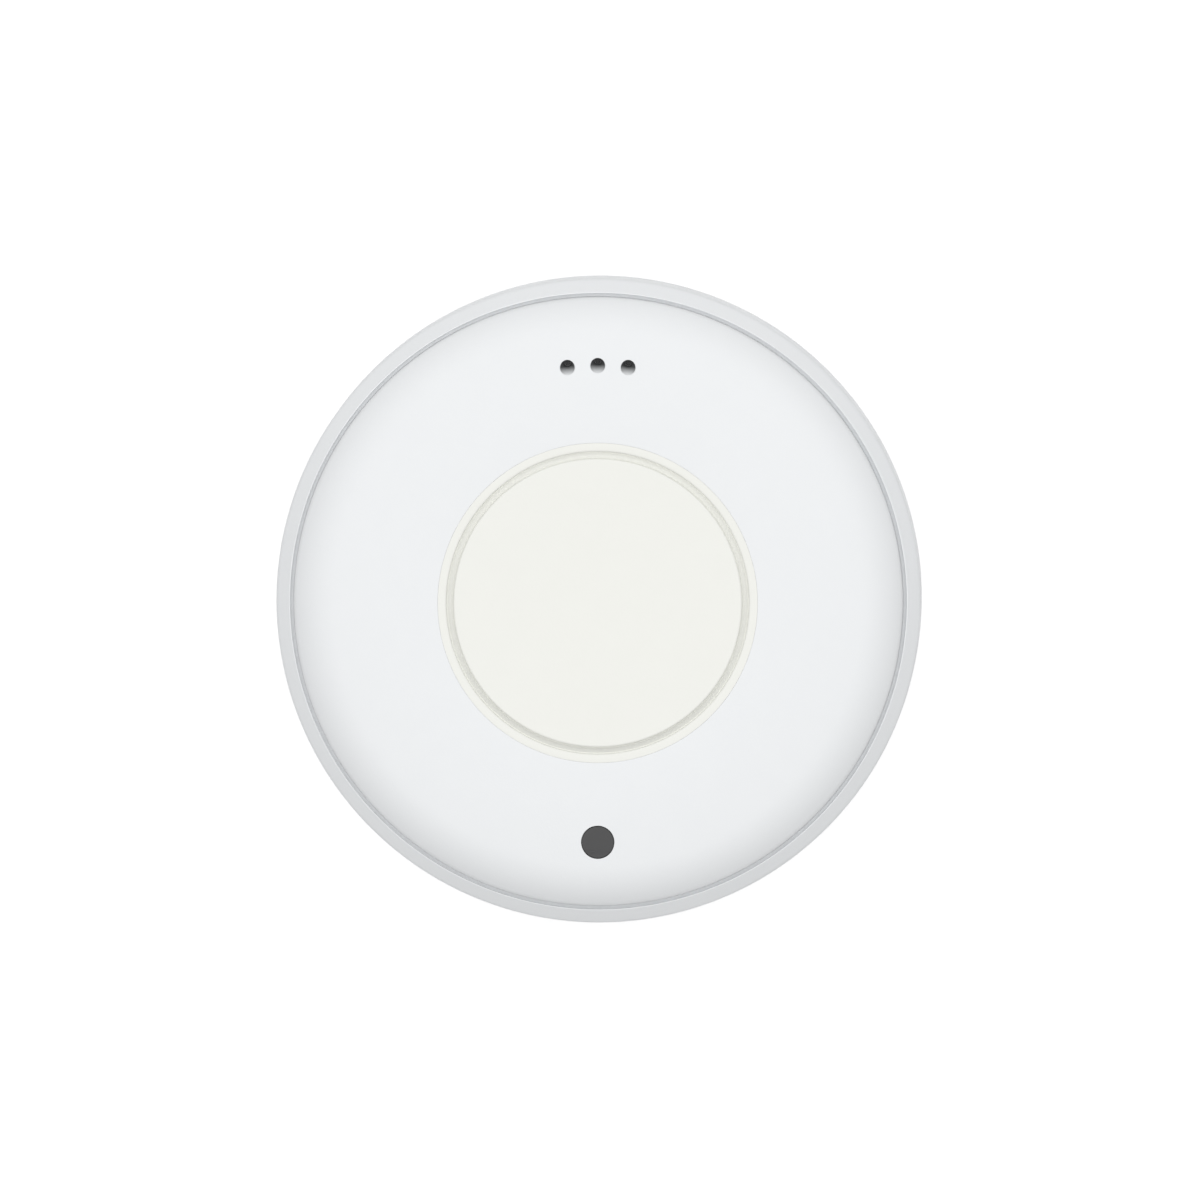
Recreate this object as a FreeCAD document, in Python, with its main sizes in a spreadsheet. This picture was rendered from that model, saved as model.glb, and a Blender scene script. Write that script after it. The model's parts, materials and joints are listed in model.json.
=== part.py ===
import FreeCAD, Part
import math
import os
from types import SimpleNamespace

import Sketcher

# A round beacon tag that lies on its back: a rear shell with a battery well, a domed front cover
# with a push button in its middle, three sound holes at the top and a dark window at the bottom.
# +Z comes out of the front face, +Y points to the sound holes, and z = 0 is the flat back.
# All lengths are in millimetres and all angles in degrees.

SIZES = (
    # Overall sizes
    ("body_diameter", 44.0, "outside of the rear shell"),
    ("crown_height", 12.4, "flat top of the front cover above the back"),
    ("crown_flat_radius", 12.8, "where the front cover starts to curve down"),
    # Coin cell
    ("cell_diameter", 24.5, "coin cell"),
    ("cell_thickness", 5.0, "coin cell"),
    ("cell_clearance", 0.3, "gap round the coin cell in the door"),
    ("cell_shoulder", 0.35, "how far the cap stands above the can"),
    ("cell_cap_diameter", 20.6, "negative cap of the coin cell"),
    ("cell_seal_width", 0.35, "insulating ring of the coin cell"),
    ("cell_seat_depth", 0.4, "depth of the ring's seat in the can"),
    ("cell_chamfer", 0.3, "edges of the can and of its cap"),
    # Battery door and its bayonet
    ("door_wall", 0.95, "rim of the battery door round the cell"),
    ("door_recess", 0.2, "how far the door lies inside the back"),
    ("door_floor", 1.2, "plate of the battery door"),
    ("door_clearance", 0.1, "gap between the door and the rear shell"),
    ("lug_gap", 0.1, "gap between a lug and the floor that holds it"),
    ("lug_height", 0.8, "height of a bayonet lug"),
    ("lug_reach", 0.9, "how far a lug stands out from the door"),
    ("lug_angle", 28.0, "length of a lug round the door"),
    ("lug_count", 3.0, "bayonet lugs"),
    ("lug_phase_angle", 90.0, "angle of the first lug when the door is locked"),
    ("notch_spare_angle", 2.0, "spare angle at each side of a notch"),
    ("door_turn_angle", 30.0, "turn between locked and open"),
    ("stop_angle", 5.0, "length of a lug stop round the track"),
    ("stop_gap_angle", 0.5, "angle between a locked lug and its stop"),
    ("door_seal_thickness", 0.5, "seal between the door and the battery well"),
    ("track_roof", 1.0, "roof over the lug track"),
    ("track_wall", 1.0, "wall round the lug track"),
    ("well_wall", 1.15, "wall of the battery well"),
    ("well_gap", 0.6, "gap between the battery well and the board"),
    ("coin_slot_length", 14.0, "slot for a coin in the door"),
    ("coin_slot_width", 1.8, "slot for a coin in the door"),
    ("coin_slot_depth", 0.7, "slot for a coin in the door"),
    ("mark_diameter", 0.8, "round position marks on the back"),
    ("mark_depth", 0.25, "depth of the position marks"),
    ("mark_inset", 1.0, "distance of a mark from the joint line"),
    # Rear shell
    ("shell_wall", 2.0, "side wall below the seal ledge"),
    ("shell_floor", 1.5, "floor of the rear shell"),
    ("ledge_drop", 1.4, "seat of the housing seal below the board"),
    ("ledge_width", 0.75, "width of that seat"),
    ("rib_thickness", 0.8, "stiffening ribs of the rear shell"),
    ("rib_height", 3.5, "stiffening ribs above the floor"),
    ("rim_width", 1.1, "from the outside to the middle of the parting groove"),
    ("rim_drop", 2.8, "top of the rim below the crown"),
    ("rim_slope_angle", 40.0, "slope of the rim, from the upright side wall"),
    ("rim_rounding", 0.8, "rounding between the rim and the side wall"),
    ("foot_rounding", 2.0, "rounding between the side wall and the back"),
    ("parting_gap", 0.24, "width of the parting groove"),
    ("parting_depth", 0.35, "depth of the parting groove below the rim"),
    # Circuit board and screws
    ("board_thickness", 0.6, "thickness of the circuit board"),
    ("board_clearance", 0.2, "gap between the board and the cover's skirt"),
    ("screw_inset", 0.95, "how far the screws stand inside the middle of track and outside"),
    ("first_screw_angle", 45.0, "direction of the first screw"),
    ("screw_count", 4.0, "housing screws"),
    ("screw_shank_diameter", 1.3, "shank of a housing screw"),
    ("screw_bite", 1.4, "how far a screw reaches into its boss"),
    ("screw_head_diameter", 2.6, "head of a housing screw"),
    ("screw_head_height", 0.8, "head of a housing screw"),
    ("drive_depth", 0.45, "recess in a screw head"),
    ("drive_width", 0.42, "width of the cross in a screw head"),
    ("drive_span", 1.5, "length of the cross in a screw head"),
    ("thread_clearance", 0.03, "gap between a shank and its pilot hole"),
    ("shank_clearance", 0.2, "gap between a shank and a plain hole"),
    ("head_clearance", 0.15, "gap round a screw head"),
    ("head_pocket_depth", 2.2, "depth of a screw head's pocket in the back"),
    ("pilot_spare", 0.3, "free depth beyond a screw's tip"),
    ("post_wall", 0.95, "wall of a screw post round its hole"),
    ("boss_wall", 0.82, "wall of a screw boss round its pilot hole"),
    # Front cover
    ("cover_thickness", 1.4, "wall of the cover round the button"),
    ("haunch_width", 1.7, "slope inside the cover between its ceiling and its skirt"),
    ("haunch_drop", 1.6, "height of that slope"),
    ("skirt_thickness", 1.15, "wall of the cover's skirt"),
    ("skirt_clearance", 0.1, "gap between the skirt and the rear shell"),
    ("seal_thickness", 0.6, "housing seal between ledge and skirt"),
    ("seal_margin", 0.05, "gap at each edge of a seal"),
    ("crown_radius", 120.0, "radius of the gentle dome of the cover, about the middle axis"),
    ("shoulder_inset", 4.0, "from the outside to where the shoulder starts"),
    ("shoulder_radius", 4.4, "radius of the shoulder"),
    ("edge_chamfer", 0.1, "small chamfer of the visible edges"),
    # Push button
    ("button_diameter", 19.7, "visible disc of the button"),
    ("button_groove", 0.45, "groove between the button and its bezel"),
    ("button_travel", 0.3, "how far the button goes down"),
    ("bezel_face", 0.6, "visible width of the bezel"),
    ("bezel_seam", 0.04, "seam between the bezel and the cover"),
    ("bezel_wall", 0.35, "collar wall below the bezel's lip"),
    ("bezel_lip", 0.4, "thickness of the lip that holds the button in"),
    ("bezel_flange_width", 0.9, "flange glued under the cover"),
    ("bezel_flange", 0.6, "thickness of that flange"),
    ("guide_clearance", 0.05, "running gap of the button in the bezel"),
    ("button_roof", 0.8, "face of the button"),
    ("button_skirt", 1.3, "guiding height of the button below the lip"),
    ("button_wall", 1.0, "skirt wall of the button"),
    ("button_stem_diameter", 4.2, "stem that presses the switch"),
    ("button_stem_length", 0.3, "stem that presses the switch"),
    ("button_rib", 0.6, "thickness of the ribs under the button"),
    ("button_rib_depth", 0.25, "depth of the ribs under the button"),
    ("button_rib_count", 6.0, "ribs under the button"),
    # Tactile switch
    ("switch_side", 6.0, "switch housing, square"),
    ("switch_floor", 0.3, "floor under the snap dome"),
    ("switch_plate", 0.2, "steel plate over the switch"),
    ("switch_height", 2.5, "whole switch with its plunger"),
    ("press_spare", 0.15, "room left below the snap dome when pressed"),
    ("plunger_diameter", 3.5, "stem of the plunger"),
    ("plunger_collar", 0.5, "width of the collar that holds the plunger in"),
    ("plunger_flange", 0.4, "thickness of that collar"),
    ("plunger_gap", 0.1, "running gap round the plunger"),
    ("cavity_gap", 0.15, "gap round the plunger's collar"),
    ("snap_dome_margin", 0.3, "gap round the snap dome"),
    ("snap_dome_rise", 0.22, "rise of the snap dome"),
    ("snap_dome_thickness", 0.08, "sheet of the snap dome"),
    ("terminal_width", 0.7, "solder leg of the switch"),
    ("terminal_thickness", 0.2, "solder leg of the switch"),
    ("terminal_reach", 1.0, "foot of a solder leg"),
    ("terminal_rise", 0.6, "height of a solder leg"),
    ("terminal_inset", 0.75, "from a solder leg's middle to the switch's corner"),
    # Sound path
    ("sound_hole_diameter", 1.0, "sound hole"),
    ("sound_hole_inset", 1.63, "from the ceiling's edge to the middle of the sound holes"),
    ("sound_hole_angle", 7.36, "angle between two sound holes"),
    ("mesh_thickness", 0.15, "acoustic mesh under the holes"),
    ("gasket_margin", 0.05, "gasket's opening round the sound holes"),
    ("gasket_gap", 0.9, "gap between the gasket and the bezel's flange"),
    ("gasket_frame", 0.6, "frame of the foam gasket"),
    ("buzzer_margin", 0.4, "how much wider than the gasket the buzzer is"),
    ("buzzer_depth", 5.2, "buzzer, towards the middle"),
    ("buzzer_height", 1.7, "buzzer"),
    ("buzzer_port_diameter", 1.2, "sound port of the buzzer"),
    ("buzzer_port_depth", 0.8, "sound port of the buzzer"),
    # Window and light sensor
    ("window_diameter", 2.26, "dark window"),
    ("window_inset", 1.45, "from the ceiling's edge to the middle of the window"),
    ("window_sink", 0.06, "how far the window lies below the cover"),
    ("window_gap", 0.02, "gap round the window"),
    ("window_boss_wall", 1.1, "wall of the boss round the window inside the cover"),
    ("window_boss_drop", 0.6, "height of that boss"),
    ("window_flange_width", 0.67, "flange of the window's light pipe"),
    ("window_flange", 0.35, "thickness of that flange"),
    ("pipe_diameter", 2.4, "light pipe down to the sensor"),
    ("pipe_gap", 0.15, "gap between the light pipe and the sensor"),
    ("sensor_length", 2.2, "light sensor"),
    ("sensor_width", 1.8, "light sensor"),
    ("sensor_height", 0.6, "light sensor"),
    # Battery contacts
    ("contact_sheet", 0.15, "spring sheet of the contacts"),
    ("contact_gap", 0.02, "gap between a contact and the cell"),
    ("negative_width", 2.4, "negative contact"),
    ("negative_pad", 3.2, "soldered pad of the negative contact"),
    ("negative_reach", 4.2, "spring arm of the negative contact"),
    ("positive_width", 2.6, "positive contact"),
    ("positive_pad", 2.0, "soldered pad of the positive contact"),
    ("positive_standoff", 0.5, "gap between the positive contact and the well"),
    ("positive_drop", 1.35, "where the positive contact meets the can, below its shoulder"),
    ("slot_clearance", 0.5, "gap at each side of the positive contact"),
    # Parts on the circuit board
    ("radio_side", 6.0, "radio chip, square"),
    ("radio_height", 0.9, "radio chip"),
    ("radio_x", -9.2, "middle of the radio chip"),
    ("radio_y", 5.6, "middle of the radio chip"),
    ("antenna_length", 7.0, "chip antenna"),
    ("antenna_width", 2.0, "chip antenna"),
    ("antenna_height", 0.8, "chip antenna"),
    ("antenna_inset", 2.1, "from the board's edge to the middle of the chip antenna"),
    ("crystal_length", 3.2, "crystals"),
    ("crystal_width", 2.5, "main crystal"),
    ("crystal_height", 0.75, "main crystal"),
    ("crystal_x", -9.2, "middle of both crystals"),
    ("crystal_y", -1.2, "middle of the main crystal"),
    ("sleep_crystal_width", 1.5, "sleep clock crystal"),
    ("sleep_crystal_pitch", 3.4, "distance between the crystals"),
    ("motion_side", 2.5, "motion sensor, square"),
    ("motion_height", 0.9, "motion sensor"),
    ("motion_x", 8.2, "middle of the motion sensor"),
    ("motion_y", -7.6, "middle of the motion sensor"),
    ("lid_inset", 0.25, "edge of a metal lid or a moulded top"),
    ("lid_height", 0.25, "height of that lid"),
    ("inductor_side", 2.5, "power inductor"),
    ("inductor_height", 1.2, "power inductor"),
    ("inductor_x", 8.6, "middle of the power inductor"),
    ("inductor_y", 7.2, "middle of the power inductor"),
    ("chip_length", 1.6, "capacitors and resistors"),
    ("chip_width", 0.8, "capacitors and resistors"),
    ("capacitor_height", 0.8, "capacitors"),
    ("resistor_height", 0.45, "resistors"),
    ("chip_pitch", 1.7, "distance between two of them"),
    ("capacitor_count", 4.0, "capacitors in their row"),
    ("resistor_count", 4.0, "resistors in their row"),
    ("capacitor_x", 2.6, "first capacitor"),
    ("capacitor_y", -11.4, "row of the capacitors"),
    ("resistor_x", -11.6, "first resistor"),
    ("resistor_y", -8.4, "row of the resistors"),
)

doc = FreeCAD.newDocument("beacon_tag")
sheet = doc.addObject("Spreadsheet::Sheet", "Sizes")
for row, (alias, number, meaning) in enumerate(SIZES, start=1):
    sheet.set(f"A{row}", alias)
    sheet.set(f"B{row}", str(number))
    sheet.set(f"C{row}", meaning)
    sheet.setAlias(f"B{row}", alias)
doc.recompute()


class Size:
    """A size with its number and the spreadsheet formula that gives it."""

    def __init__(self, number, formula):
        self.number = number
        self.formula = formula

    def __add__(self, other):
        other = as_size(other)
        return Size(self.number + other.number, f"({self.formula} + {other.formula})")

    def __sub__(self, other):
        other = as_size(other)
        return Size(self.number - other.number, f"({self.formula} - {other.formula})")

    def __mul__(self, other):
        other = as_size(other)
        return Size(self.number * other.number, f"({self.formula} * {other.formula})")

    def __truediv__(self, other):
        other = as_size(other)
        return Size(self.number / other.number, f"({self.formula} / {other.formula})")

    def __neg__(self):
        return Size(-self.number, f"(0 - {self.formula})")


def as_size(value):
    """Turn a plain number into a Size."""
    if isinstance(value, Size):
        return value
    return Size(float(value), f"({float(value)})")


def sine(angle):
    angle = as_size(angle)
    return Size(math.sin(math.radians(angle.number)), f"sin({angle.formula})")


def cosine(angle):
    angle = as_size(angle)
    return Size(math.cos(math.radians(angle.number)), f"cos({angle.formula})")


def tangent(angle):
    angle = as_size(angle)
    return Size(math.tan(math.radians(angle.number)), f"tan({angle.formula})")


def root(square):
    return Size(math.sqrt(square.number), f"sqrt({square.formula})")


def leg(hypotenuse, other_leg):
    """The third side of a right triangle."""
    return root(hypotenuse * hypotenuse - other_leg * other_leg)


S = SimpleNamespace(**{
    alias: Size(float(sheet.get(alias)), f"Sizes.{alias}") for alias, number, meaning in SIZES
})

# Distances from the middle: the outside, what stands inside it, and the button
BODY_RADIUS = S.body_diameter / 2
PARTING_RADIUS = BODY_RADIUS - S.rim_width
COVER_RADIUS = PARTING_RADIUS - S.parting_gap / 2
RIM_RADIUS = PARTING_RADIUS + S.parting_gap / 2
LEDGE_INNER = BODY_RADIUS - S.shell_wall
LEDGE_OUTER = LEDGE_INNER + S.ledge_width
SKIRT_OUTER = LEDGE_OUTER - S.skirt_clearance
SKIRT_INNER = SKIRT_OUTER - S.skirt_thickness
CEILING_RADIUS = SKIRT_INNER - S.haunch_width
BOARD_RADIUS = SKIRT_INNER - S.board_clearance
SOUND_CIRCLE = CEILING_RADIUS - S.sound_hole_inset
WINDOW_CIRCLE = CEILING_RADIUS - S.window_inset
BUTTON_RADIUS = S.button_diameter / 2
LIP_RADIUS = BUTTON_RADIUS + S.button_groove
BEZEL_RADIUS = LIP_RADIUS + S.bezel_face
COLLAR_BORE = BEZEL_RADIUS - S.bezel_wall
FLANGE_RADIUS = BEZEL_RADIUS + S.bezel_flange_width
OPENING_RADIUS = BEZEL_RADIUS + S.bezel_seam

# Distances from the middle: the coin cell, the door round it and the lug track
CELL_RADIUS = S.cell_diameter / 2
CELL_CAP_RADIUS = S.cell_cap_diameter / 2
CELL_RING_OUTER = CELL_CAP_RADIUS + S.cell_seal_width
DOOR_BORE = CELL_RADIUS + S.cell_clearance
DOOR_RADIUS = DOOR_BORE + S.door_wall
DOOR_OPENING = DOOR_RADIUS + S.door_clearance
LUG_RADIUS = DOOR_RADIUS + S.lug_reach
TRACK_RADIUS = LUG_RADIUS + S.door_clearance
TRACK_OUTER = TRACK_RADIUS + S.track_wall
WELL_BORE = DOOR_BORE + S.door_clearance
WELL_RADIUS = WELL_BORE + S.well_wall
SCREW_CIRCLE = (TRACK_RADIUS + BODY_RADIUS) / 2 - S.screw_inset
PLAIN_HOLE = S.screw_shank_diameter + S.shank_clearance * 2
PILOT_HOLE = S.screw_shank_diameter + S.thread_clearance * 2

# Heights, from the crown down: the cover, the button, the switch and the board
CROWN = S.crown_height
CEILING = CROWN - S.cover_thickness
BEZEL_FOOT = CEILING - S.bezel_flange
LIP_UNDERSIDE = CROWN - S.bezel_lip
BUTTON_CEILING = CROWN - S.button_roof
PLUNGER_TOP = BUTTON_CEILING - S.button_stem_length
BOARD_TOP = PLUNGER_TOP - S.switch_height
BOARD_FOOT = BOARD_TOP - S.board_thickness
WELL_TOP = BOARD_FOOT - S.well_gap
LEDGE_HEIGHT = BOARD_FOOT - S.ledge_drop
SKIRT_FOOT = LEDGE_HEIGHT + S.seal_thickness
RIM_TOP = CROWN - S.rim_drop
GROOVE_FLOOR = RIM_TOP - S.parting_depth
SCREW_TIP = BOARD_TOP + S.screw_bite
MESH_FOOT = CEILING - S.mesh_thickness
BUZZER_TOP = BOARD_TOP + S.buzzer_height
WINDOW_BOSS_FOOT = CEILING - S.window_boss_drop
PIPE_FOOT = BOARD_TOP + S.sensor_height + S.pipe_gap

# Heights inside the switch, from the board up
CAVITY_FOOT = BOARD_TOP + S.switch_floor
DOME_FOOT = CAVITY_FOOT + S.button_travel + S.press_spare
DOME_TOP = DOME_FOOT + S.snap_dome_rise + S.snap_dome_thickness
FLANGE_TOP = DOME_TOP + S.plunger_flange
SWITCH_BASE_TOP = FLANGE_TOP + S.seal_margin

# Heights, from the back up: the door with its lugs, and the coin cell
DOOR_SEAT = S.door_recess + S.door_floor
LUG_FOOT = S.shell_floor + S.lug_gap
LUG_TOP = LUG_FOOT + S.lug_height
TRACK_TOP = LUG_TOP + S.door_seal_thickness
ROOF_TOP = TRACK_TOP + S.track_roof
CELL_TOP = DOOR_SEAT + S.cell_thickness
CELL_SHOULDER = CELL_TOP - S.cell_shoulder
CELL_RING_FOOT = CELL_SHOULDER - S.cell_seat_depth

# The sound gasket's frame stands round the three holes and clear of the bezel
GASKET_WIDTH = ((SOUND_CIRCLE * sine(S.sound_hole_angle) + S.sound_hole_diameter / 2
                 + S.gasket_margin + S.gasket_frame) * 2)
GASKET_EDGE = SOUND_CIRCLE + S.sound_hole_diameter / 2 + S.gasket_margin + S.gasket_frame
GASKET_DEPTH = GASKET_EDGE - FLANGE_RADIUS - S.gasket_gap
GASKET_Y = GASKET_EDGE - GASKET_DEPTH / 2

# The cover's curve: a gentle dome about the middle axis that runs into the tighter shoulder
SHOULDER_START = BODY_RADIUS - S.shoulder_inset
DOME_CENTRE = CROWN - leg(S.crown_radius, S.crown_flat_radius)
SHOULDER_HEIGHT = DOME_CENTRE + leg(S.crown_radius, SHOULDER_START)
SHOULDER_CENTRE_R = SHOULDER_START - S.shoulder_radius * SHOULDER_START / S.crown_radius
SHOULDER_CENTRE_Z = (SHOULDER_HEIGHT
                     - S.shoulder_radius * leg(S.crown_radius, SHOULDER_START) / S.crown_radius)


def cover_height(radius):
    """Height of the cover's gentle dome at a distance from the middle."""
    return DOME_CENTRE + leg(S.crown_radius, radius)


PIECES = []


def piece(label):
    """A sub-part made of sketches and features."""
    made = doc.addObject("PartDesign::Body", label)
    made.Label = label
    PIECES.append(made)
    return made


def origin_feature(body, role):
    return [item for item in body.Origin.OriginFeatures if item.Role == role][0]


def bind(item, path, size):
    item.setExpression(path, as_size(size).formula)


def new_sketch(body, name, plane="XY_Plane", height=None):
    """A sketch on one of the body's own planes, lifted by a height."""
    sketch = body.newObject("Sketcher::SketchObject", f"{body.Name}_{name}")
    sketch.AttachmentSupport = (origin_feature(body, plane), [""])
    sketch.MapMode = "FlatFace"
    if height is not None:
        bind(sketch, "AttachmentOffset.Base.z", height)
    return sketch


def hold(sketch, direction, geometry, vertex, size):
    """Hold a point by its distance from the sketch's origin, or on the axis where that is zero."""
    if not isinstance(size, Size) and size == 0:
        axis = -2 if direction == "DistanceX" else -1
        sketch.addConstraint(Sketcher.Constraint("PointOnObject", geometry, vertex, axis))
        return
    size = as_size(size)
    index = sketch.addConstraint(
        Sketcher.Constraint(direction, -1, 1, geometry, vertex, size.number))
    bind(sketch, f"Constraints[{index}]", size)


class Bend:
    """An arc from the corner before it to the corner after it."""

    def __init__(self, radius, clockwise=False):
        self.radius = as_size(radius)
        self.clockwise = clockwise


def point(corner):
    return FreeCAD.Vector(as_size(corner[0]).number, as_size(corner[1]).number, 0)


def arc_edge(start, end, bend):
    """The arc between two points that bulges to the stated side."""
    chord = end - start
    half = chord.Length / 2
    rise = math.sqrt(max(bend.radius.number ** 2 - half ** 2, 0.0))
    left = FreeCAD.Vector(-chord.y, chord.x, 0).normalize()
    side = -1 if bend.clockwise else 1
    centre = (start + end) / 2 + left * rise * side
    first, last = (end, start) if bend.clockwise else (start, end)
    circle = Part.Circle(centre, FreeCAD.Vector(0, 0, 1), bend.radius.number)
    begin = math.atan2(first.y - centre.y, first.x - centre.x)
    finish = math.atan2(last.y - centre.y, last.x - centre.x)
    if finish < begin:
        finish += 2 * math.pi
    return Part.ArcOfCircle(circle, begin, finish)


def outline(sketch, steps):
    """Draw a closed outline of corners and bends, each corner held by its two distances."""
    corners = []
    bends = {}
    for step in steps:
        if isinstance(step, Bend):
            bends[len(corners) - 1] = step
        else:
            corners.append(step)
    edges = []
    for number, corner in enumerate(corners):
        start = point(corner)
        end = point(corners[(number + 1) % len(corners)])
        bend = bends.get(number)
        shape = arc_edge(start, end, bend) if bend else Part.LineSegment(start, end)
        turned = bool(bend and bend.clockwise)
        index = sketch.addGeometry(shape, False)
        edges.append((index, 2 if turned else 1, 1 if turned else 2))
        if bend:
            held = sketch.addConstraint(
                Sketcher.Constraint("Radius", index, bend.radius.number))
            bind(sketch, f"Constraints[{held}]", bend.radius)
    for number, (index, first, last) in enumerate(edges):
        after, after_first, after_last = edges[(number + 1) % len(edges)]
        sketch.addConstraint(Sketcher.Constraint("Coincident", index, last, after, after_first))
        hold(sketch, "DistanceX", index, first, corners[number][0])
        hold(sketch, "DistanceY", index, first, corners[number][1])


def circle(sketch, x, y, diameter):
    """Draw a circle by its middle and diameter."""
    diameter = as_size(diameter)
    shape = Part.Circle(point((x, y)), FreeCAD.Vector(0, 0, 1), diameter.number / 2)
    index = sketch.addGeometry(shape, False)
    hold(sketch, "DistanceX", index, 3, x)
    hold(sketch, "DistanceY", index, 3, y)
    held = sketch.addConstraint(Sketcher.Constraint("Radius", index, diameter.number / 2))
    bind(sketch, f"Constraints[{held}]", diameter / 2)


def rectangle(sketch, x, y, width, depth):
    """Draw a rectangle round its middle."""
    half_x = as_size(width) / 2
    half_y = as_size(depth) / 2
    x = as_size(x)
    y = as_size(y)
    outline(sketch, [(x - half_x, y - half_y), (x + half_x, y - half_y),
                     (x + half_x, y + half_y), (x - half_x, y + half_y)])


def sector(sketch, inner, outer, middle, half_angle):
    """Draw a piece of a ring."""
    first = as_size(middle) - half_angle
    last = as_size(middle) + half_angle
    outline(sketch, [
        (inner * cosine(first), inner * sine(first)),
        (outer * cosine(first), outer * sine(first)),
        Bend(outer),
        (outer * cosine(last), outer * sine(last)),
        (inner * cosine(last), inner * sine(last)),
        Bend(inner, clockwise=True),
    ])


def turned(body, name, steps):
    """Turn a half section, drawn as radius and height, round the Z axis."""
    sketch = new_sketch(body, f"{name}_section", plane="XZ_Plane")
    outline(sketch, steps)
    feature = body.newObject("PartDesign::Revolution", f"{body.Name}_{name}")
    feature.Profile = sketch
    feature.ReferenceAxis = (sketch, ["V_Axis"])
    feature.Angle = 360
    return feature


def raised(body, name, bottom, top, draw, *shape):
    """Pad a drawn shape from one height to another."""
    sketch = new_sketch(body, f"{name}_shape", height=bottom)
    draw(sketch, *shape)
    feature = body.newObject("PartDesign::Pad", f"{body.Name}_{name}")
    feature.Profile = sketch
    bind(feature, "Length", as_size(top) - bottom)
    return feature


def sunk(body, name, top, bottom, draw, *shape):
    """Cut a drawn shape from one height down to another, and see that it cuts."""
    doc.recompute()
    before = body.Shape.Volume
    sketch = new_sketch(body, f"{name}_shape", height=top)
    draw(sketch, *shape)
    feature = body.newObject("PartDesign::Pocket", f"{body.Name}_{name}")
    feature.Profile = sketch
    bind(feature, "Length", as_size(top) - bottom)
    doc.recompute()
    if not body.Shape.Volume < before:
        raise RuntimeError(f"{feature.Name} cuts nothing")
    return feature


def repeated(body, features, count, angle=360.0):
    """Repeat features round the Z axis."""
    doc.recompute()
    pattern = body.newObject("PartDesign::PolarPattern", f"{features[0].Name}_ring")
    pattern.Originals = list(features)
    pattern.Axis = (origin_feature(body, "Z_Axis"), [""])
    bind(pattern, "Angle", angle)
    bind(pattern, "Occurrences", count)
    body.Tip = pattern
    doc.recompute()
    return pattern


def in_row(body, features, role, length, count):
    """Repeat features along one of the body's axes."""
    doc.recompute()
    pattern = body.newObject("PartDesign::LinearPattern", f"{features[0].Name}_row")
    pattern.Originals = list(features)
    pattern.Direction = (origin_feature(body, role), [""])
    bind(pattern, "Length", length)
    bind(pattern, "Occurrences", count)
    body.Tip = pattern
    doc.recompute()
    return pattern


def folded_strip(body, name, steps, width, offset=None):
    """A strip of sheet drawn from the side in X and Z, with its width along Y."""
    sketch = new_sketch(body, f"{name}_side", plane="XZ_Plane", height=offset)
    outline(sketch, steps)
    feature = body.newObject("PartDesign::Pad", f"{body.Name}_{name}")
    feature.Profile = sketch
    feature.SideType = "Symmetric"
    bind(feature, "Length", width)
    return feature


def screw_place():
    return (SCREW_CIRCLE * cosine(S.first_screw_angle), SCREW_CIRCLE * sine(S.first_screw_angle))


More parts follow.
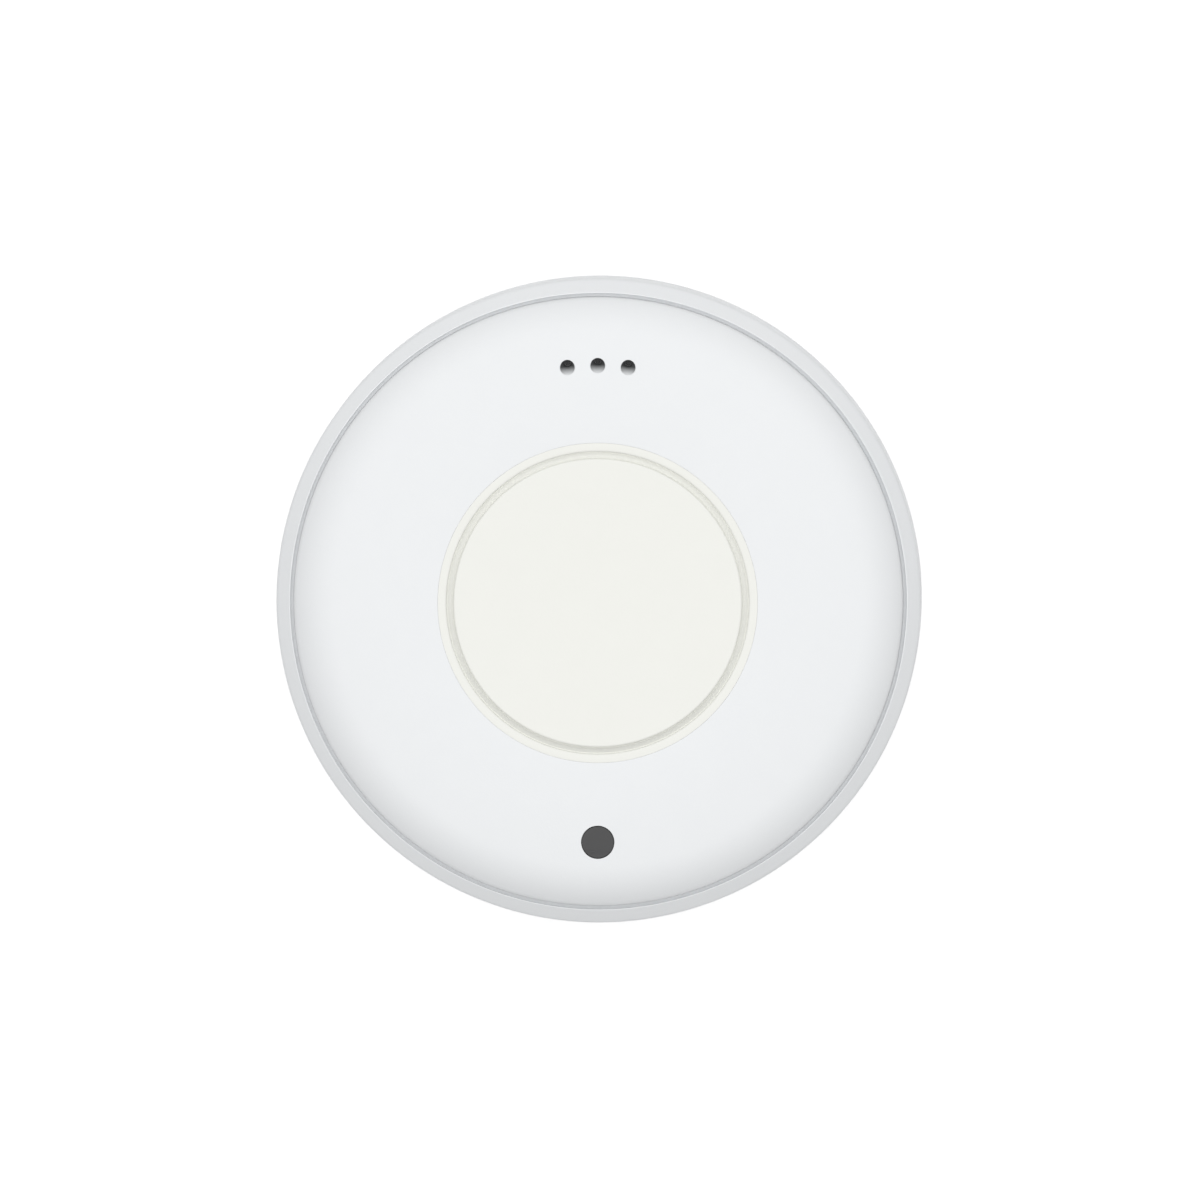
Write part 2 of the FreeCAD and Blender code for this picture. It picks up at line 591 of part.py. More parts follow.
def make_rear_shell():
    """Tray with the visible rim, the battery well, the bayonet track, posts and ribs."""
    body = piece("rear_shell")
    slope = S.rim_slope_angle
    corner = RIM_TOP - (BODY_RADIUS - RIM_RADIUS) / tangent(slope)
    cut_back = S.rim_rounding * tangent(slope / 2)
    turned(body, "tray", [
        (DOOR_OPENING, 0),
        (BODY_RADIUS - S.foot_rounding, 0),
        Bend(S.foot_rounding),
        (BODY_RADIUS, S.foot_rounding),
        (BODY_RADIUS, corner - cut_back),
        Bend(S.rim_rounding),
        (BODY_RADIUS - cut_back * sine(slope), corner + cut_back * cosine(slope)),
        (RIM_RADIUS, RIM_TOP),
        (RIM_RADIUS, GROOVE_FLOOR),
        (LEDGE_OUTER, GROOVE_FLOOR),
        (LEDGE_OUTER, LEDGE_HEIGHT),
        (LEDGE_INNER, LEDGE_HEIGHT),
        (LEDGE_INNER, S.shell_floor),
        (TRACK_OUTER, S.shell_floor),
        (TRACK_OUTER, ROOF_TOP),
        (WELL_RADIUS, ROOF_TOP),
        (WELL_RADIUS, WELL_TOP),
        (WELL_BORE, WELL_TOP),
        (WELL_BORE, TRACK_TOP),
        (TRACK_RADIUS, TRACK_TOP),
        (TRACK_RADIUS, S.shell_floor),
        (DOOR_OPENING, S.shell_floor),
    ])
    post = raised(body, "post", 0, BOARD_FOOT, circle, *screw_place(),
                  PLAIN_HOLE + S.post_wall * 2)
    repeated(body, [post], S.screw_count)
    reach_in = TRACK_OUTER - S.track_wall / 2
    reach_out = LEDGE_INNER + S.shell_wall / 4
    rib = raised(body, "rib", S.shell_floor, S.shell_floor + S.rib_height, rectangle,
                 (reach_in + reach_out) / 2, 0, reach_out - reach_in, S.rib_thickness)
    repeated(body, [rib], S.screw_count)
    stop_middle = (S.lug_phase_angle + S.lug_angle / 2 + S.stop_gap_angle
                   + S.stop_angle / 2)
    stop = raised(body, "stop", S.shell_floor, TRACK_TOP, sector,
                  DOOR_OPENING, TRACK_OUTER - S.track_wall / 2, stop_middle, S.stop_angle / 2)
    repeated(body, [stop], S.lug_count)
    notch = sunk(body, "notch", S.shell_floor, 0, sector,
                 DOOR_OPENING - S.lug_reach, TRACK_RADIUS, S.lug_phase_angle - S.door_turn_angle,
                 S.lug_angle / 2 + S.notch_spare_angle)
    repeated(body, [notch], S.lug_count)
    hole = sunk(body, "screw_hole", BOARD_FOOT, 0, circle, *screw_place(), PLAIN_HOLE)
    pocket = sunk(body, "head_pocket", S.head_pocket_depth, 0, circle, *screw_place(),
                  S.screw_head_diameter + S.head_clearance * 2)
    repeated(body, [hole, pocket], S.screw_count)
    slot_reach = WELL_RADIUS - WELL_BORE + S.door_clearance * 2
    sunk(body, "contact_slot", WELL_TOP, ROOF_TOP, rectangle,
         -(WELL_RADIUS + WELL_BORE) / 2, 0, slot_reach,
         S.positive_width + S.slot_clearance * 2)
    mark_radius = DOOR_OPENING + S.lug_reach + S.mark_inset
    for name, angle in (("locked", S.lug_phase_angle),
                        ("open", S.lug_phase_angle - S.door_turn_angle)):
        sunk(body, f"{name}_mark", S.mark_depth, 0, circle,
             mark_radius * cosine(angle), mark_radius * sine(angle), S.mark_diameter)


def make_front_cover():
    """Domed cover with the button opening, sound holes, window hole, skirt and screw bosses."""
    body = piece("front_cover")
    edge_centre = COVER_RADIUS - SHOULDER_CENTRE_R
    turned(body, "dome", [
        (OPENING_RADIUS, CEILING),
        (CEILING_RADIUS, CEILING),
        (SKIRT_INNER, CEILING - S.haunch_drop),
        (SKIRT_INNER, SKIRT_FOOT),
        (SKIRT_OUTER, SKIRT_FOOT),
        (SKIRT_OUTER, GROOVE_FLOOR),
        (COVER_RADIUS, GROOVE_FLOOR),
        (COVER_RADIUS, SHOULDER_CENTRE_Z + leg(S.shoulder_radius, edge_centre)),
        Bend(S.shoulder_radius),
        (SHOULDER_START, SHOULDER_HEIGHT),
        Bend(S.crown_radius),
        (S.crown_flat_radius, CROWN),
        (OPENING_RADIUS + S.edge_chamfer, CROWN),
        (OPENING_RADIUS, CROWN - S.edge_chamfer),
    ])
    boss = raised(body, "boss", BOARD_TOP, CEILING, circle, *screw_place(),
                  PILOT_HOLE + S.boss_wall * 2)
    repeated(body, [boss], S.screw_count)
    raised(body, "window_boss", WINDOW_BOSS_FOOT, CEILING, circle,
           0, -WINDOW_CIRCLE, S.window_diameter + S.window_boss_wall * 2)
    pilot = sunk(body, "pilot", SCREW_TIP + S.pilot_spare, BOARD_TOP, circle, *screw_place(),
                 PILOT_HOLE)
    repeated(body, [pilot], S.screw_count)
    sunk(body, "window_hole", CROWN, WINDOW_BOSS_FOOT, circle,
         0, -WINDOW_CIRCLE, S.window_diameter)
    hole = sunk(body, "sound_hole", CROWN, CEILING, circle,
                SOUND_CIRCLE * sine(S.sound_hole_angle), SOUND_CIRCLE * cosine(S.sound_hole_angle),
                S.sound_hole_diameter)
    repeated(body, [hole], 3, S.sound_hole_angle * 2)


def make_housing_seal():
    """Flat ring between the rear shell's ledge and the cover's skirt."""
    body = piece("housing_seal")
    turned(body, "ring", [
        (LEDGE_INNER + S.seal_margin, LEDGE_HEIGHT),
        (LEDGE_OUTER - S.seal_margin, LEDGE_HEIGHT),
        (LEDGE_OUTER - S.seal_margin, SKIRT_FOOT),
        (LEDGE_INNER + S.seal_margin, SKIRT_FOOT),
    ])


def make_housing_screws():
    """Screws from the back through the board into the cover's bosses."""
    body = piece("housing_screws")
    head_foot = S.head_pocket_depth - S.screw_head_height
    head = raised(body, "head", head_foot, S.head_pocket_depth, circle,
                  *screw_place(), S.screw_head_diameter)
    shank = raised(body, "shank", S.head_pocket_depth, SCREW_TIP, circle,
                   *screw_place(), S.screw_shank_diameter)
    drives = []
    for name, width, depth in (("cross", S.drive_span, S.drive_width),
                               ("bar", S.drive_width, S.drive_span)):
        drives.append(sunk(body, name, head_foot + S.drive_depth, head_foot, rectangle,
                           *screw_place(), width, depth))
    repeated(body, [head, shank] + drives, S.screw_count)


def make_circuit_board():
    """Round board with its screw holes."""
    body = piece("circuit_board")
    raised(body, "disc", BOARD_FOOT, BOARD_TOP, circle, 0, 0, BOARD_RADIUS * 2)
    hole = sunk(body, "hole", BOARD_TOP, BOARD_FOOT, circle, *screw_place(), PLAIN_HOLE)
    repeated(body, [hole], S.screw_count)


def make_button_bezel():
    """Ring round the button: a flange under the cover, a collar and the lip that holds it in."""
    body = piece("button_bezel")
    chamfer = S.edge_chamfer
    turned(body, "ring", [
        (COLLAR_BORE, BEZEL_FOOT),
        (FLANGE_RADIUS, BEZEL_FOOT),
        (FLANGE_RADIUS, CEILING),
        (BEZEL_RADIUS, CEILING),
        (BEZEL_RADIUS, CROWN - chamfer),
        (BEZEL_RADIUS - chamfer, CROWN),
        (LIP_RADIUS + chamfer, CROWN),
        (LIP_RADIUS, CROWN - chamfer),
        (LIP_RADIUS, LIP_UNDERSIDE),
        (COLLAR_BORE, LIP_UNDERSIDE),
    ])


def make_button_cap():
    """Round button with a guiding skirt, a stem over the switch and ribs between them."""
    body = piece("button_cap")
    guide = COLLAR_BORE - S.guide_clearance
    bore = guide - S.button_wall
    turned(body, "cup", [
        (0, BUTTON_CEILING),
        (bore, BUTTON_CEILING),
        (bore, LIP_UNDERSIDE - S.button_skirt),
        (guide, LIP_UNDERSIDE - S.button_skirt),
        (guide, LIP_UNDERSIDE),
        (BUTTON_RADIUS, LIP_UNDERSIDE),
        (BUTTON_RADIUS, CROWN - S.edge_chamfer),
        (BUTTON_RADIUS - S.edge_chamfer, CROWN),
        (0, CROWN),
    ])
    raised(body, "stem", PLUNGER_TOP, BUTTON_CEILING, circle, 0, 0, S.button_stem_diameter)
    stem_edge = S.button_stem_diameter / 4
    rib_end = bore + S.button_wall / 2
    rib = raised(body, "rib", BUTTON_CEILING - S.button_rib_depth, BUTTON_CEILING, rectangle,
                 (stem_edge + rib_end) / 2, 0, rib_end - stem_edge, S.button_rib)
    repeated(body, [rib], S.button_rib_count)


PLUNGER_FLANGE_DIAMETER = S.plunger_diameter + S.plunger_collar * 2
CAVITY_DIAMETER = PLUNGER_FLANGE_DIAMETER + S.cavity_gap * 2


def make_switch_base():
    """Square moulded housing of the switch with a round cavity."""
    body = piece("switch_base")
    raised(body, "block", BOARD_TOP, SWITCH_BASE_TOP, rectangle,
           0, 0, S.switch_side, S.switch_side)
    sunk(body, "cavity", SWITCH_BASE_TOP, CAVITY_FOOT, circle, 0, 0, CAVITY_DIAMETER)


def make_switch_plate():
    """Steel plate over the switch, with two ears folded down its sides."""
    body = piece("switch_plate")
    plate_top = SWITCH_BASE_TOP + S.switch_plate
    raised(body, "sheet", SWITCH_BASE_TOP, plate_top, rectangle,
           0, 0, S.switch_side, S.switch_side + S.switch_plate * 2)
    ear_y = S.switch_side / 2 + S.switch_plate / 2
    ear = raised(body, "ear", BOARD_TOP + S.terminal_rise, plate_top, rectangle,
                 0, ear_y, S.switch_side / 3, S.switch_plate)
    repeated(body, [ear], 2)
    sunk(body, "hole", plate_top, SWITCH_BASE_TOP, circle,
         0, 0, S.plunger_diameter + S.plunger_gap * 2)


def make_switch_plunger():
    """Plunger that stands out of the switch and is held in by its collar."""
    body = piece("switch_plunger")
    turned(body, "stem", [
        (0, DOME_TOP),
        (PLUNGER_FLANGE_DIAMETER / 2, DOME_TOP),
        (PLUNGER_FLANGE_DIAMETER / 2, FLANGE_TOP),
        (S.plunger_diameter / 2, FLANGE_TOP),
        (S.plunger_diameter / 2, PLUNGER_TOP - S.edge_chamfer),
        (S.plunger_diameter / 2 - S.edge_chamfer, PLUNGER_TOP),
        (0, PLUNGER_TOP),
    ])


def make_snap_dome():
    """Shallow steel dome whose top meets the plunger."""
    body = piece("switch_snap_dome")
    half = CAVITY_DIAMETER / 2 - S.snap_dome_margin
    rise = S.snap_dome_rise
    radius = (half * half + rise * rise) / (rise * 2)
    turned(body, "sheet", [
        (0, DOME_TOP - S.snap_dome_thickness),
        Bend(radius, clockwise=True),
        (half, DOME_FOOT),
        (half, DOME_FOOT + S.snap_dome_thickness),
        Bend(radius),
        (0, DOME_TOP),
    ])


def make_switch_terminals():
    """Four bent solder legs of the switch."""
    body = piece("switch_terminals")
    side = S.switch_side / 2
    sheet_gap = S.terminal_thickness
    reach = side - S.terminal_inset
    legs = []
    for name, offset in (("near_leg", reach), ("far_leg", -reach)):
        legs.append(folded_strip(body, name, [
            (side, BOARD_TOP),
            (side + S.terminal_reach, BOARD_TOP),
            (side + S.terminal_reach, BOARD_TOP + sheet_gap),
            (side + sheet_gap, BOARD_TOP + sheet_gap),
            (side + sheet_gap, BOARD_TOP + S.terminal_rise),
            (side, BOARD_TOP + S.terminal_rise),
        ], S.terminal_width, offset))
    repeated(body, legs, 2)


def make_cell_can():
    """Steel can of the coin cell, its crimped edge round the seat of the insulating ring."""
    body = piece("cell_can")
    chamfer = S.cell_chamfer
    turned(body, "can", [
        (0, DOOR_SEAT),
        (CELL_RADIUS - chamfer, DOOR_SEAT),
        (CELL_RADIUS, DOOR_SEAT + chamfer),
        (CELL_RADIUS, CELL_SHOULDER - chamfer),
        (CELL_RADIUS - chamfer, CELL_SHOULDER),
        (CELL_RING_OUTER, CELL_SHOULDER),
        (CELL_RING_OUTER, CELL_RING_FOOT),
        (0, CELL_RING_FOOT),
    ])


def make_cell_ring():
    """Insulating ring between the can and the cap."""
    body = piece("cell_ring")
    inner = CELL_CAP_RADIUS + S.contact_gap
    outer = CELL_RING_OUTER - S.contact_gap
    turned(body, "ring", [
        (inner, CELL_RING_FOOT),
        (outer, CELL_RING_FOOT),
        (outer, CELL_SHOULDER + S.seal_margin),
        (inner, CELL_SHOULDER + S.seal_margin),
    ])


def make_cell_cap():
    """Negative cap of the coin cell, facing the board."""
    body = piece("cell_cap")
    turned(body, "cap", [
        (0, CELL_RING_FOOT),
        (CELL_CAP_RADIUS, CELL_RING_FOOT),
        (CELL_CAP_RADIUS, CELL_TOP - S.cell_chamfer),
        (CELL_CAP_RADIUS - S.cell_chamfer, CELL_TOP),
        (0, CELL_TOP),
    ])


def make_battery_door():
    """Turning door with a coin slot outside, a cup for the cell and the bayonet lugs."""
    body = piece("battery_door")
    turned(body, "cup", [
        (0, S.door_recess),
        (DOOR_RADIUS - S.edge_chamfer, S.door_recess),
        (DOOR_RADIUS, S.door_recess + S.edge_chamfer),
        (DOOR_RADIUS, LUG_TOP),
        (DOOR_BORE, LUG_TOP),
        (DOOR_BORE, DOOR_SEAT),
        (0, DOOR_SEAT),
    ])
    lug = raised(body, "lug", LUG_FOOT, LUG_TOP, sector,
                 (DOOR_BORE + DOOR_RADIUS) / 2, LUG_RADIUS, S.lug_phase_angle, S.lug_angle / 2)
    repeated(body, [lug], S.lug_count)
    half_length = S.coin_slot_length / 2
    half_width = S.coin_slot_width / 2
    nose = S.coin_slot_width / 4
    sunk(body, "coin_slot", S.door_recess + S.coin_slot_depth, S.door_recess, outline, [
        (-half_length + nose, -half_width),
        (half_length - nose, -half_width),
        Bend(nose),
        (half_length, -half_width + nose),
        (half_length, half_width - nose),
        Bend(nose),
        (half_length - nose, half_width),
        (-half_length + nose, half_width),
        Bend(nose),
        (-half_length, half_width - nose),
        (-half_length, -half_width + nose),
        Bend(nose),
    ])
    mark_radius = DOOR_RADIUS - S.mark_inset
    sunk(body, "mark", S.door_recess + S.mark_depth, S.door_recess, circle,
         mark_radius * cosine(S.lug_phase_angle), mark_radius * sine(S.lug_phase_angle),
         S.mark_diameter)


def make_door_seal():
    """Flat ring on the door's rim."""
    body = piece("door_seal")
    turned(body, "ring", [
        (WELL_BORE, LUG_TOP),
        (DOOR_RADIUS - S.seal_margin * 2, LUG_TOP),
        (DOOR_RADIUS - S.seal_margin * 2, TRACK_TOP),
        (WELL_BORE, TRACK_TOP),
    ])


def make_negative_contact():
    """Leaf spring under the board that meets the cell's cap."""
    body = piece("negative_contact")
    sheet_gap = S.contact_sheet
    touch = CELL_TOP + S.contact_gap
    reach = S.negative_reach
    folded_strip(body, "leaf", [
        (-S.negative_pad, BOARD_FOOT - sheet_gap),
        (0, BOARD_FOOT - sheet_gap),
        (reach - sheet_gap * 4, touch),
        (reach - sheet_gap * 2, touch),
        (reach + sheet_gap, touch + sheet_gap * 2),
        (reach + sheet_gap, touch + sheet_gap * 3),
        (reach - sheet_gap * 2, touch + sheet_gap),
        (reach - sheet_gap * 4, touch + sheet_gap),
        (0, BOARD_FOOT),
        (-S.negative_pad, BOARD_FOOT),
    ], S.negative_width)


def make_positive_contact():
    """Leaf spring beside the well that meets the can's side through the slot in the well."""
    body = piece("positive_contact")
    sheet_gap = S.contact_sheet
    touch = CELL_RADIUS + S.contact_gap
    stand = WELL_RADIUS + S.positive_standoff
    low = CELL_SHOULDER - S.positive_drop
    folded_strip(body, "leaf", [
        (-(stand + sheet_gap + S.positive_pad), BOARD_FOOT),
        (-(stand + sheet_gap + S.positive_pad), BOARD_FOOT - sheet_gap),
        (-(stand + sheet_gap), BOARD_FOOT - sheet_gap),
        (-(stand + sheet_gap), low + sheet_gap * 6),
        (-(touch + sheet_gap), low + sheet_gap),
        (-(touch + sheet_gap), low - sheet_gap),
        (-touch, low - sheet_gap),
        (-touch, low + sheet_gap * 2),
        (-stand, low + sheet_gap * 7),
        (-stand, BOARD_FOOT),
    ], S.positive_width)


def make_sensor_window():
    """Dark window in the cover, with a flange below its boss and a light pipe to the sensor."""
    body = piece("sensor_window")
    lowest_edge = cover_height(WINDOW_CIRCLE + S.window_diameter / 2)
    flange_foot = WINDOW_BOSS_FOOT - S.window_flange
    place = (0, -WINDOW_CIRCLE)
    raised(body, "stem", WINDOW_BOSS_FOOT, lowest_edge - S.window_sink, circle,
           *place, S.window_diameter - S.window_gap * 2)
    raised(body, "flange", flange_foot, WINDOW_BOSS_FOOT, circle,
           *place, S.window_diameter + S.window_flange_width * 2)
    raised(body, "pipe", PIPE_FOOT, flange_foot, circle, *place, S.pipe_diameter)


def make_sound_mesh():
    """Thin acoustic mesh under the three sound holes."""
    body = piece("sound_mesh")
    raised(body, "sheet", MESH_FOOT, CEILING, rectangle, 0, GASKET_Y, GASKET_WIDTH, GASKET_DEPTH)


def make_sound_gasket():
    """Foam frame that leads the sound from the buzzer to the mesh."""
    body = piece("sound_gasket")
    raised(body, "frame", BUZZER_TOP, MESH_FOOT, rectangle,
           0, GASKET_Y, GASKET_WIDTH, GASKET_DEPTH)
    sunk(body, "opening", MESH_FOOT, BUZZER_TOP, rectangle,
         0, GASKET_Y, GASKET_WIDTH - S.gasket_frame * 2, GASKET_DEPTH - S.gasket_frame * 2)


def make_buzzer():
    """Buzzer with its sound port."""
    body = piece("buzzer")
    raised(body, "case", BOARD_TOP, BUZZER_TOP, rectangle,
           0, GASKET_EDGE - S.buzzer_depth / 2, GASKET_WIDTH + S.buzzer_margin * 2,
           S.buzzer_depth)
    sunk(body, "port", BUZZER_TOP, BUZZER_TOP - S.buzzer_port_depth, circle,
         0, GASKET_Y, S.buzzer_port_diameter)


def make_chip(label, place, sides):
    """A board part with a slightly smaller lid or moulded top."""
    body = piece(label)
    length, width, height = sides
    lid_foot = BOARD_TOP + height - S.lid_height
    raised(body, "base", BOARD_TOP, lid_foot, rectangle, *place, length, width)
    raised(body, "lid", lid_foot, BOARD_TOP + height, rectangle, *place,
           length - S.lid_inset * 2, width - S.lid_inset * 2)


def make_chip_row(label, x, y, height, count):
    """A row of small two-ended board parts."""
    body = piece(label)
    first = raised(body, "first", BOARD_TOP, BOARD_TOP + height, rectangle,
                   x, y, S.chip_width, S.chip_length)
    in_row(body, [first], "X_Axis", S.chip_pitch * (count - 1), count)


make_rear_shell()
make_front_cover()
make_housing_seal()
make_housing_screws()
make_circuit_board()
make_button_bezel()
make_button_cap()
make_switch_base()
make_switch_plate()
make_switch_plunger()
make_snap_dome()
make_switch_terminals()
make_cell_can()
make_cell_ring()
make_cell_cap()
make_battery_door()
make_door_seal()
make_negative_contact()
make_positive_contact()
make_sensor_window()
make_sound_mesh()
make_sound_gasket()
make_buzzer()
make_chip("light_sensor", (0, -WINDOW_CIRCLE),
          (S.sensor_length, S.sensor_width, S.sensor_height))
make_chip("radio_chip", (S.radio_x, S.radio_y), (S.radio_side, S.radio_side, S.radio_height))
make_chip("main_crystal", (S.crystal_x, S.crystal_y),
          (S.crystal_length, S.crystal_width, S.crystal_height))
make_chip("sleep_crystal", (S.crystal_x, S.crystal_y - S.sleep_crystal_pitch),
          (S.crystal_length, S.sleep_crystal_width, S.crystal_height))
make_chip("motion_sensor", (S.motion_x, S.motion_y),
          (S.motion_side, S.motion_side, S.motion_height))
make_chip("power_inductor", (S.inductor_x, S.inductor_y),
          (S.inductor_side, S.inductor_side, S.inductor_height))
make_chip("chip_antenna", (BOARD_RADIUS - S.antenna_inset, 0),
          (S.antenna_width, S.antenna_length, S.antenna_height))
make_chip_row("capacitors", S.capacitor_x, S.capacitor_y, S.capacitor_height, S.capacitor_count)
make_chip_row("resistors", S.resistor_x, S.resistor_y, S.resistor_height, S.resistor_count)

doc.recompute()

for item in doc.Objects:
    if "Invalid" in item.State or "Error" in item.State:
        raise RuntimeError(f"{item.Name} failed: {item.State}")
for made in PIECES:
    if made.Shape.isNull() or not made.Shape.isValid():
        raise RuntimeError(f"{made.Label} has no valid shape")

os.makedirs("parts", exist_ok=True)
for made in PIECES:
    made.Shape.exportStep(f"parts/{made.Label}.step")
    box = made.Shape.BoundBox
    print(f"{made.Label}: {len(made.Shape.Solids)} solids, {made.Shape.Volume:.2f} mm3, "
          f"z {box.ZMin:.2f} to {box.ZMax:.2f}, width {box.XLength:.2f}")
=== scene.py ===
# Round white beacon tag with an ivory push button: turned and moulded shells, a bayonet battery
# door on the back, four cross-head screws, and the finishes of everything inside.
# Lengths are in metres, in the same frame as the solid model: +Z out of the front face and +Y
# towards the three sound holes.
import json
import math

import bpy
from mathutils import Matrix, Vector


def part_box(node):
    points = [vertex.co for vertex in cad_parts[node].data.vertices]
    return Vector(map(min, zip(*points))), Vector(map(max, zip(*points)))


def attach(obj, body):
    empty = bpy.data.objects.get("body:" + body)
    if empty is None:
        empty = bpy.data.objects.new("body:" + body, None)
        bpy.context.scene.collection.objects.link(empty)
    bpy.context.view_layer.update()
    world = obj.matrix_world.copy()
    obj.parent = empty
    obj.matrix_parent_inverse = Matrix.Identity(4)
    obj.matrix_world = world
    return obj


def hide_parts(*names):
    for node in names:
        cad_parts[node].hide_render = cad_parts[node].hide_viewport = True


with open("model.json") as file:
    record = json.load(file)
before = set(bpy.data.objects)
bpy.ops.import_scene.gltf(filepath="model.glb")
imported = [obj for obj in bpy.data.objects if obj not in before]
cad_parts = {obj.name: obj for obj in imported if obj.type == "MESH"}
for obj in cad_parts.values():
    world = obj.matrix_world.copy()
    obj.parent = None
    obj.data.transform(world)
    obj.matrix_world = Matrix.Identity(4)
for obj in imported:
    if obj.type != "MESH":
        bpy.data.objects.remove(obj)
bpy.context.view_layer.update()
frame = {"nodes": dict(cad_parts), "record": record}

MM = 0.001

# How finely round shapes are divided, and the small edges and limits that all pieces share
TURN_STEPS = 256
WINDOW_STEPS = 96
HOLE_STEPS = 64
POST_STEPS = 48
PILOT_STEPS = 32
STOP_STEPS = 16
NOTCH_STEPS = 24
LUG_STEPS = 28
SLOT_END_STEPS = 16
SLOT_FLOOR_STEPS = 4
CORNER_STEPS = 5
SMALL_EDGE = 0.1 * MM
OUTLINE_MERGE = 0.001 * MM
MESH_MERGE = 0.002 * MM
SHARP_ANGLE = math.radians(32)
NEARLY_STRAIGHT = math.radians(89)

# How far cutters stand out of what they cut and how far round their flared mouths go, and how
# far added pieces reach into what they join
CUTTER_REACH = 0.6 * MM
MOUTH_SPREAD = math.radians(60)
OVERLAP = 0.5 * MM

# Places taken from the solid model
shell_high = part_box("rear_shell")[1]
cover_low, cover_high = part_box("front_cover")
board_low, board_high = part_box("circuit_board")
bezel_low, bezel_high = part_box("button_bezel")
cap_low, cap_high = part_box("button_cap")
door_low, door_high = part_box("battery_door")
seal_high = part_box("door_seal")[1]
window_low, window_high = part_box("sensor_window")
screws_low, screws_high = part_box("housing_screws")
mesh_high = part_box("sound_mesh")[1]
plunger_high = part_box("switch_plunger")[1]

BODY_RADIUS = shell_high.x
RIM_TOP = shell_high.z
CROWN = cover_high.z
COVER_RADIUS = cover_high.x
SKIRT_FOOT = cover_low.z
CEILING = mesh_high.z
FLANGE_RADIUS = bezel_high.x
BEZEL_FOOT = bezel_low.z
GUIDE_RADIUS = cap_high.x
DOOR_FACE = door_low.z
LUG_TOP = door_high.z
LUG_RADIUS = door_high.y
TRACK_TOP = seal_high.z
WINDOW_Y = (window_low.y + window_high.y) / 2

# Button and bezel
BUTTON_RADIUS = 9.85 * MM
LIP_RADIUS = 10.3 * MM
BEZEL_RADIUS = 10.9 * MM
COLLAR_BORE = 10.55 * MM
OPENING_RADIUS = 10.905 * MM
GROOVE_EDGE = 0.16 * MM
GROOVE_HOLLOW = 0.18 * MM
SEAM_EDGE = 0.02 * MM
LIP_THICKNESS = 0.4 * MM
BUTTON_ROOF = 0.8 * MM
BUTTON_WALL = 1.0 * MM
STEM_RADIUS = 2.1 * MM
BUTTON_RIB = 0.6 * MM
BUTTON_RIB_DEPTH = 0.25 * MM
BUTTON_RIB_COUNT = 6

# Front cover
DOME_START = 11.1 * MM
SHOULDER_START = 18.0 * MM
DOME_FALL = 0.67 * MM
SHOULDER_RADIUS = 4.4 * MM
COVER_EDGE_RADIUS = 1.0 * MM
COVER_EDGE_STEPS = 8
SHOULDER_STEPS = 14
DOME_RINGS = 16
SKIRT_INNER = 19.5 * MM
SKIRT_OUTER = 20.65 * MM
CEILING_RADIUS = 17.8 * MM
HAUNCH_DROP = 1.6 * MM
BOSS_RADIUS = 1.5 * MM
PILOT_RADIUS = 0.68 * MM
SOUND_CIRCLE = 16.17 * MM
SOUND_ANGLE = math.radians(7.36)
SOUND_RADIUS = 0.52 * MM
SOUND_THROAT_RADIUS = 0.2 * MM
SCOOP_RINGS = 8
SCOOP_CURVE = 1.4
WINDOW_RADIUS = 1.13 * MM
WINDOW_SINK = 0.02 * MM
WINDOW_GAP = 0.02 * MM
WINDOW_FLANGE = 0.35 * MM
PIPE_RADIUS = 1.2 * MM
WINDOW_BOSS_RADIUS = 2.23 * MM
WINDOW_BOSS_DROP = 0.6 * MM

# Rear shell
RIM_RADIUS = 21.02 * MM
RIM_SLOPE = math.radians(50)
RIM_ROUNDING = 0.8 * MM
RIM_EDGE = 0.05 * MM
FOOT_ROUNDING = 2.0 * MM
GROOVE_DEPTH = 0.35 * MM
LEDGE_OUTER = 20.75 * MM
LEDGE_INNER = 20.0 * MM
LEDGE_HEIGHT = 6.8 * MM
SHELL_FLOOR = 1.5 * MM
DOOR_OPENING = 13.6 * MM
TRACK_RADIUS = 14.5 * MM
TRACK_OUTER = 15.5 * MM
TRACK_ROOF = 1.0 * MM
WELL_BORE = 12.65 * MM
WELL_RADIUS = 13.8 * MM
WELL_GAP = 0.6 * MM
POST_RADIUS = 1.8 * MM
PLAIN_HOLE_RADIUS = 0.85 * MM
HEAD_POCKET_RADIUS = 1.45 * MM
HEAD_POCKET_DEPTH = 2.2 * MM
RIB_THICKNESS = 0.8 * MM
RIB_TOP = 5.0 * MM
CONTACT_SLOT_WIDTH = 3.6 * MM

# Battery door and its bayonet
DOOR_RADIUS = 13.5 * MM
DOOR_BORE = 12.55 * MM
DOOR_SEAT = 1.4 * MM
LUG_FOOT = 1.6 * MM
LUG_REACH = 0.9 * MM
LUG_ROOT = 0.4 * MM
LUG_ANGLE = math.radians(28)
LUG_PHASE = math.radians(90)
LUG_COUNT = 3
DOOR_TURN = math.radians(30)
NOTCH_ANGLE = math.radians(32)
STOP_ANGLE = math.radians(5)
STOP_GAP = math.radians(0.5)
COIN_SLOT_LENGTH = 14.0 * MM
COIN_SLOT_WIDTH = 1.8 * MM
COIN_SLOT_DEPTH = 0.7 * MM
SLOT_EDGE_ANGLE = math.radians(60)
MARK_RADIUS = 0.4 * MM
MARK_DEPTH = 0.25 * MM
MARK_INSET = 1.0 * MM

# Housing screws
SCREW_COUNT = 4
SCREW_CIRCLE = 17.3 * MM
SCREW_PHASE = math.radians(45)
HEAD_RADIUS = 1.3 * MM
HEAD_HEIGHT = 0.8 * MM
SHANK_RADIUS = 0.65 * MM
THREAD_DEPTH = 0.13 * MM
THREAD_PITCH = 0.45 * MM
DRIVE_SPAN = 1.5 * MM
DRIVE_WIDTH = 0.42 * MM
DRIVE_DEPTH = 0.45 * MM


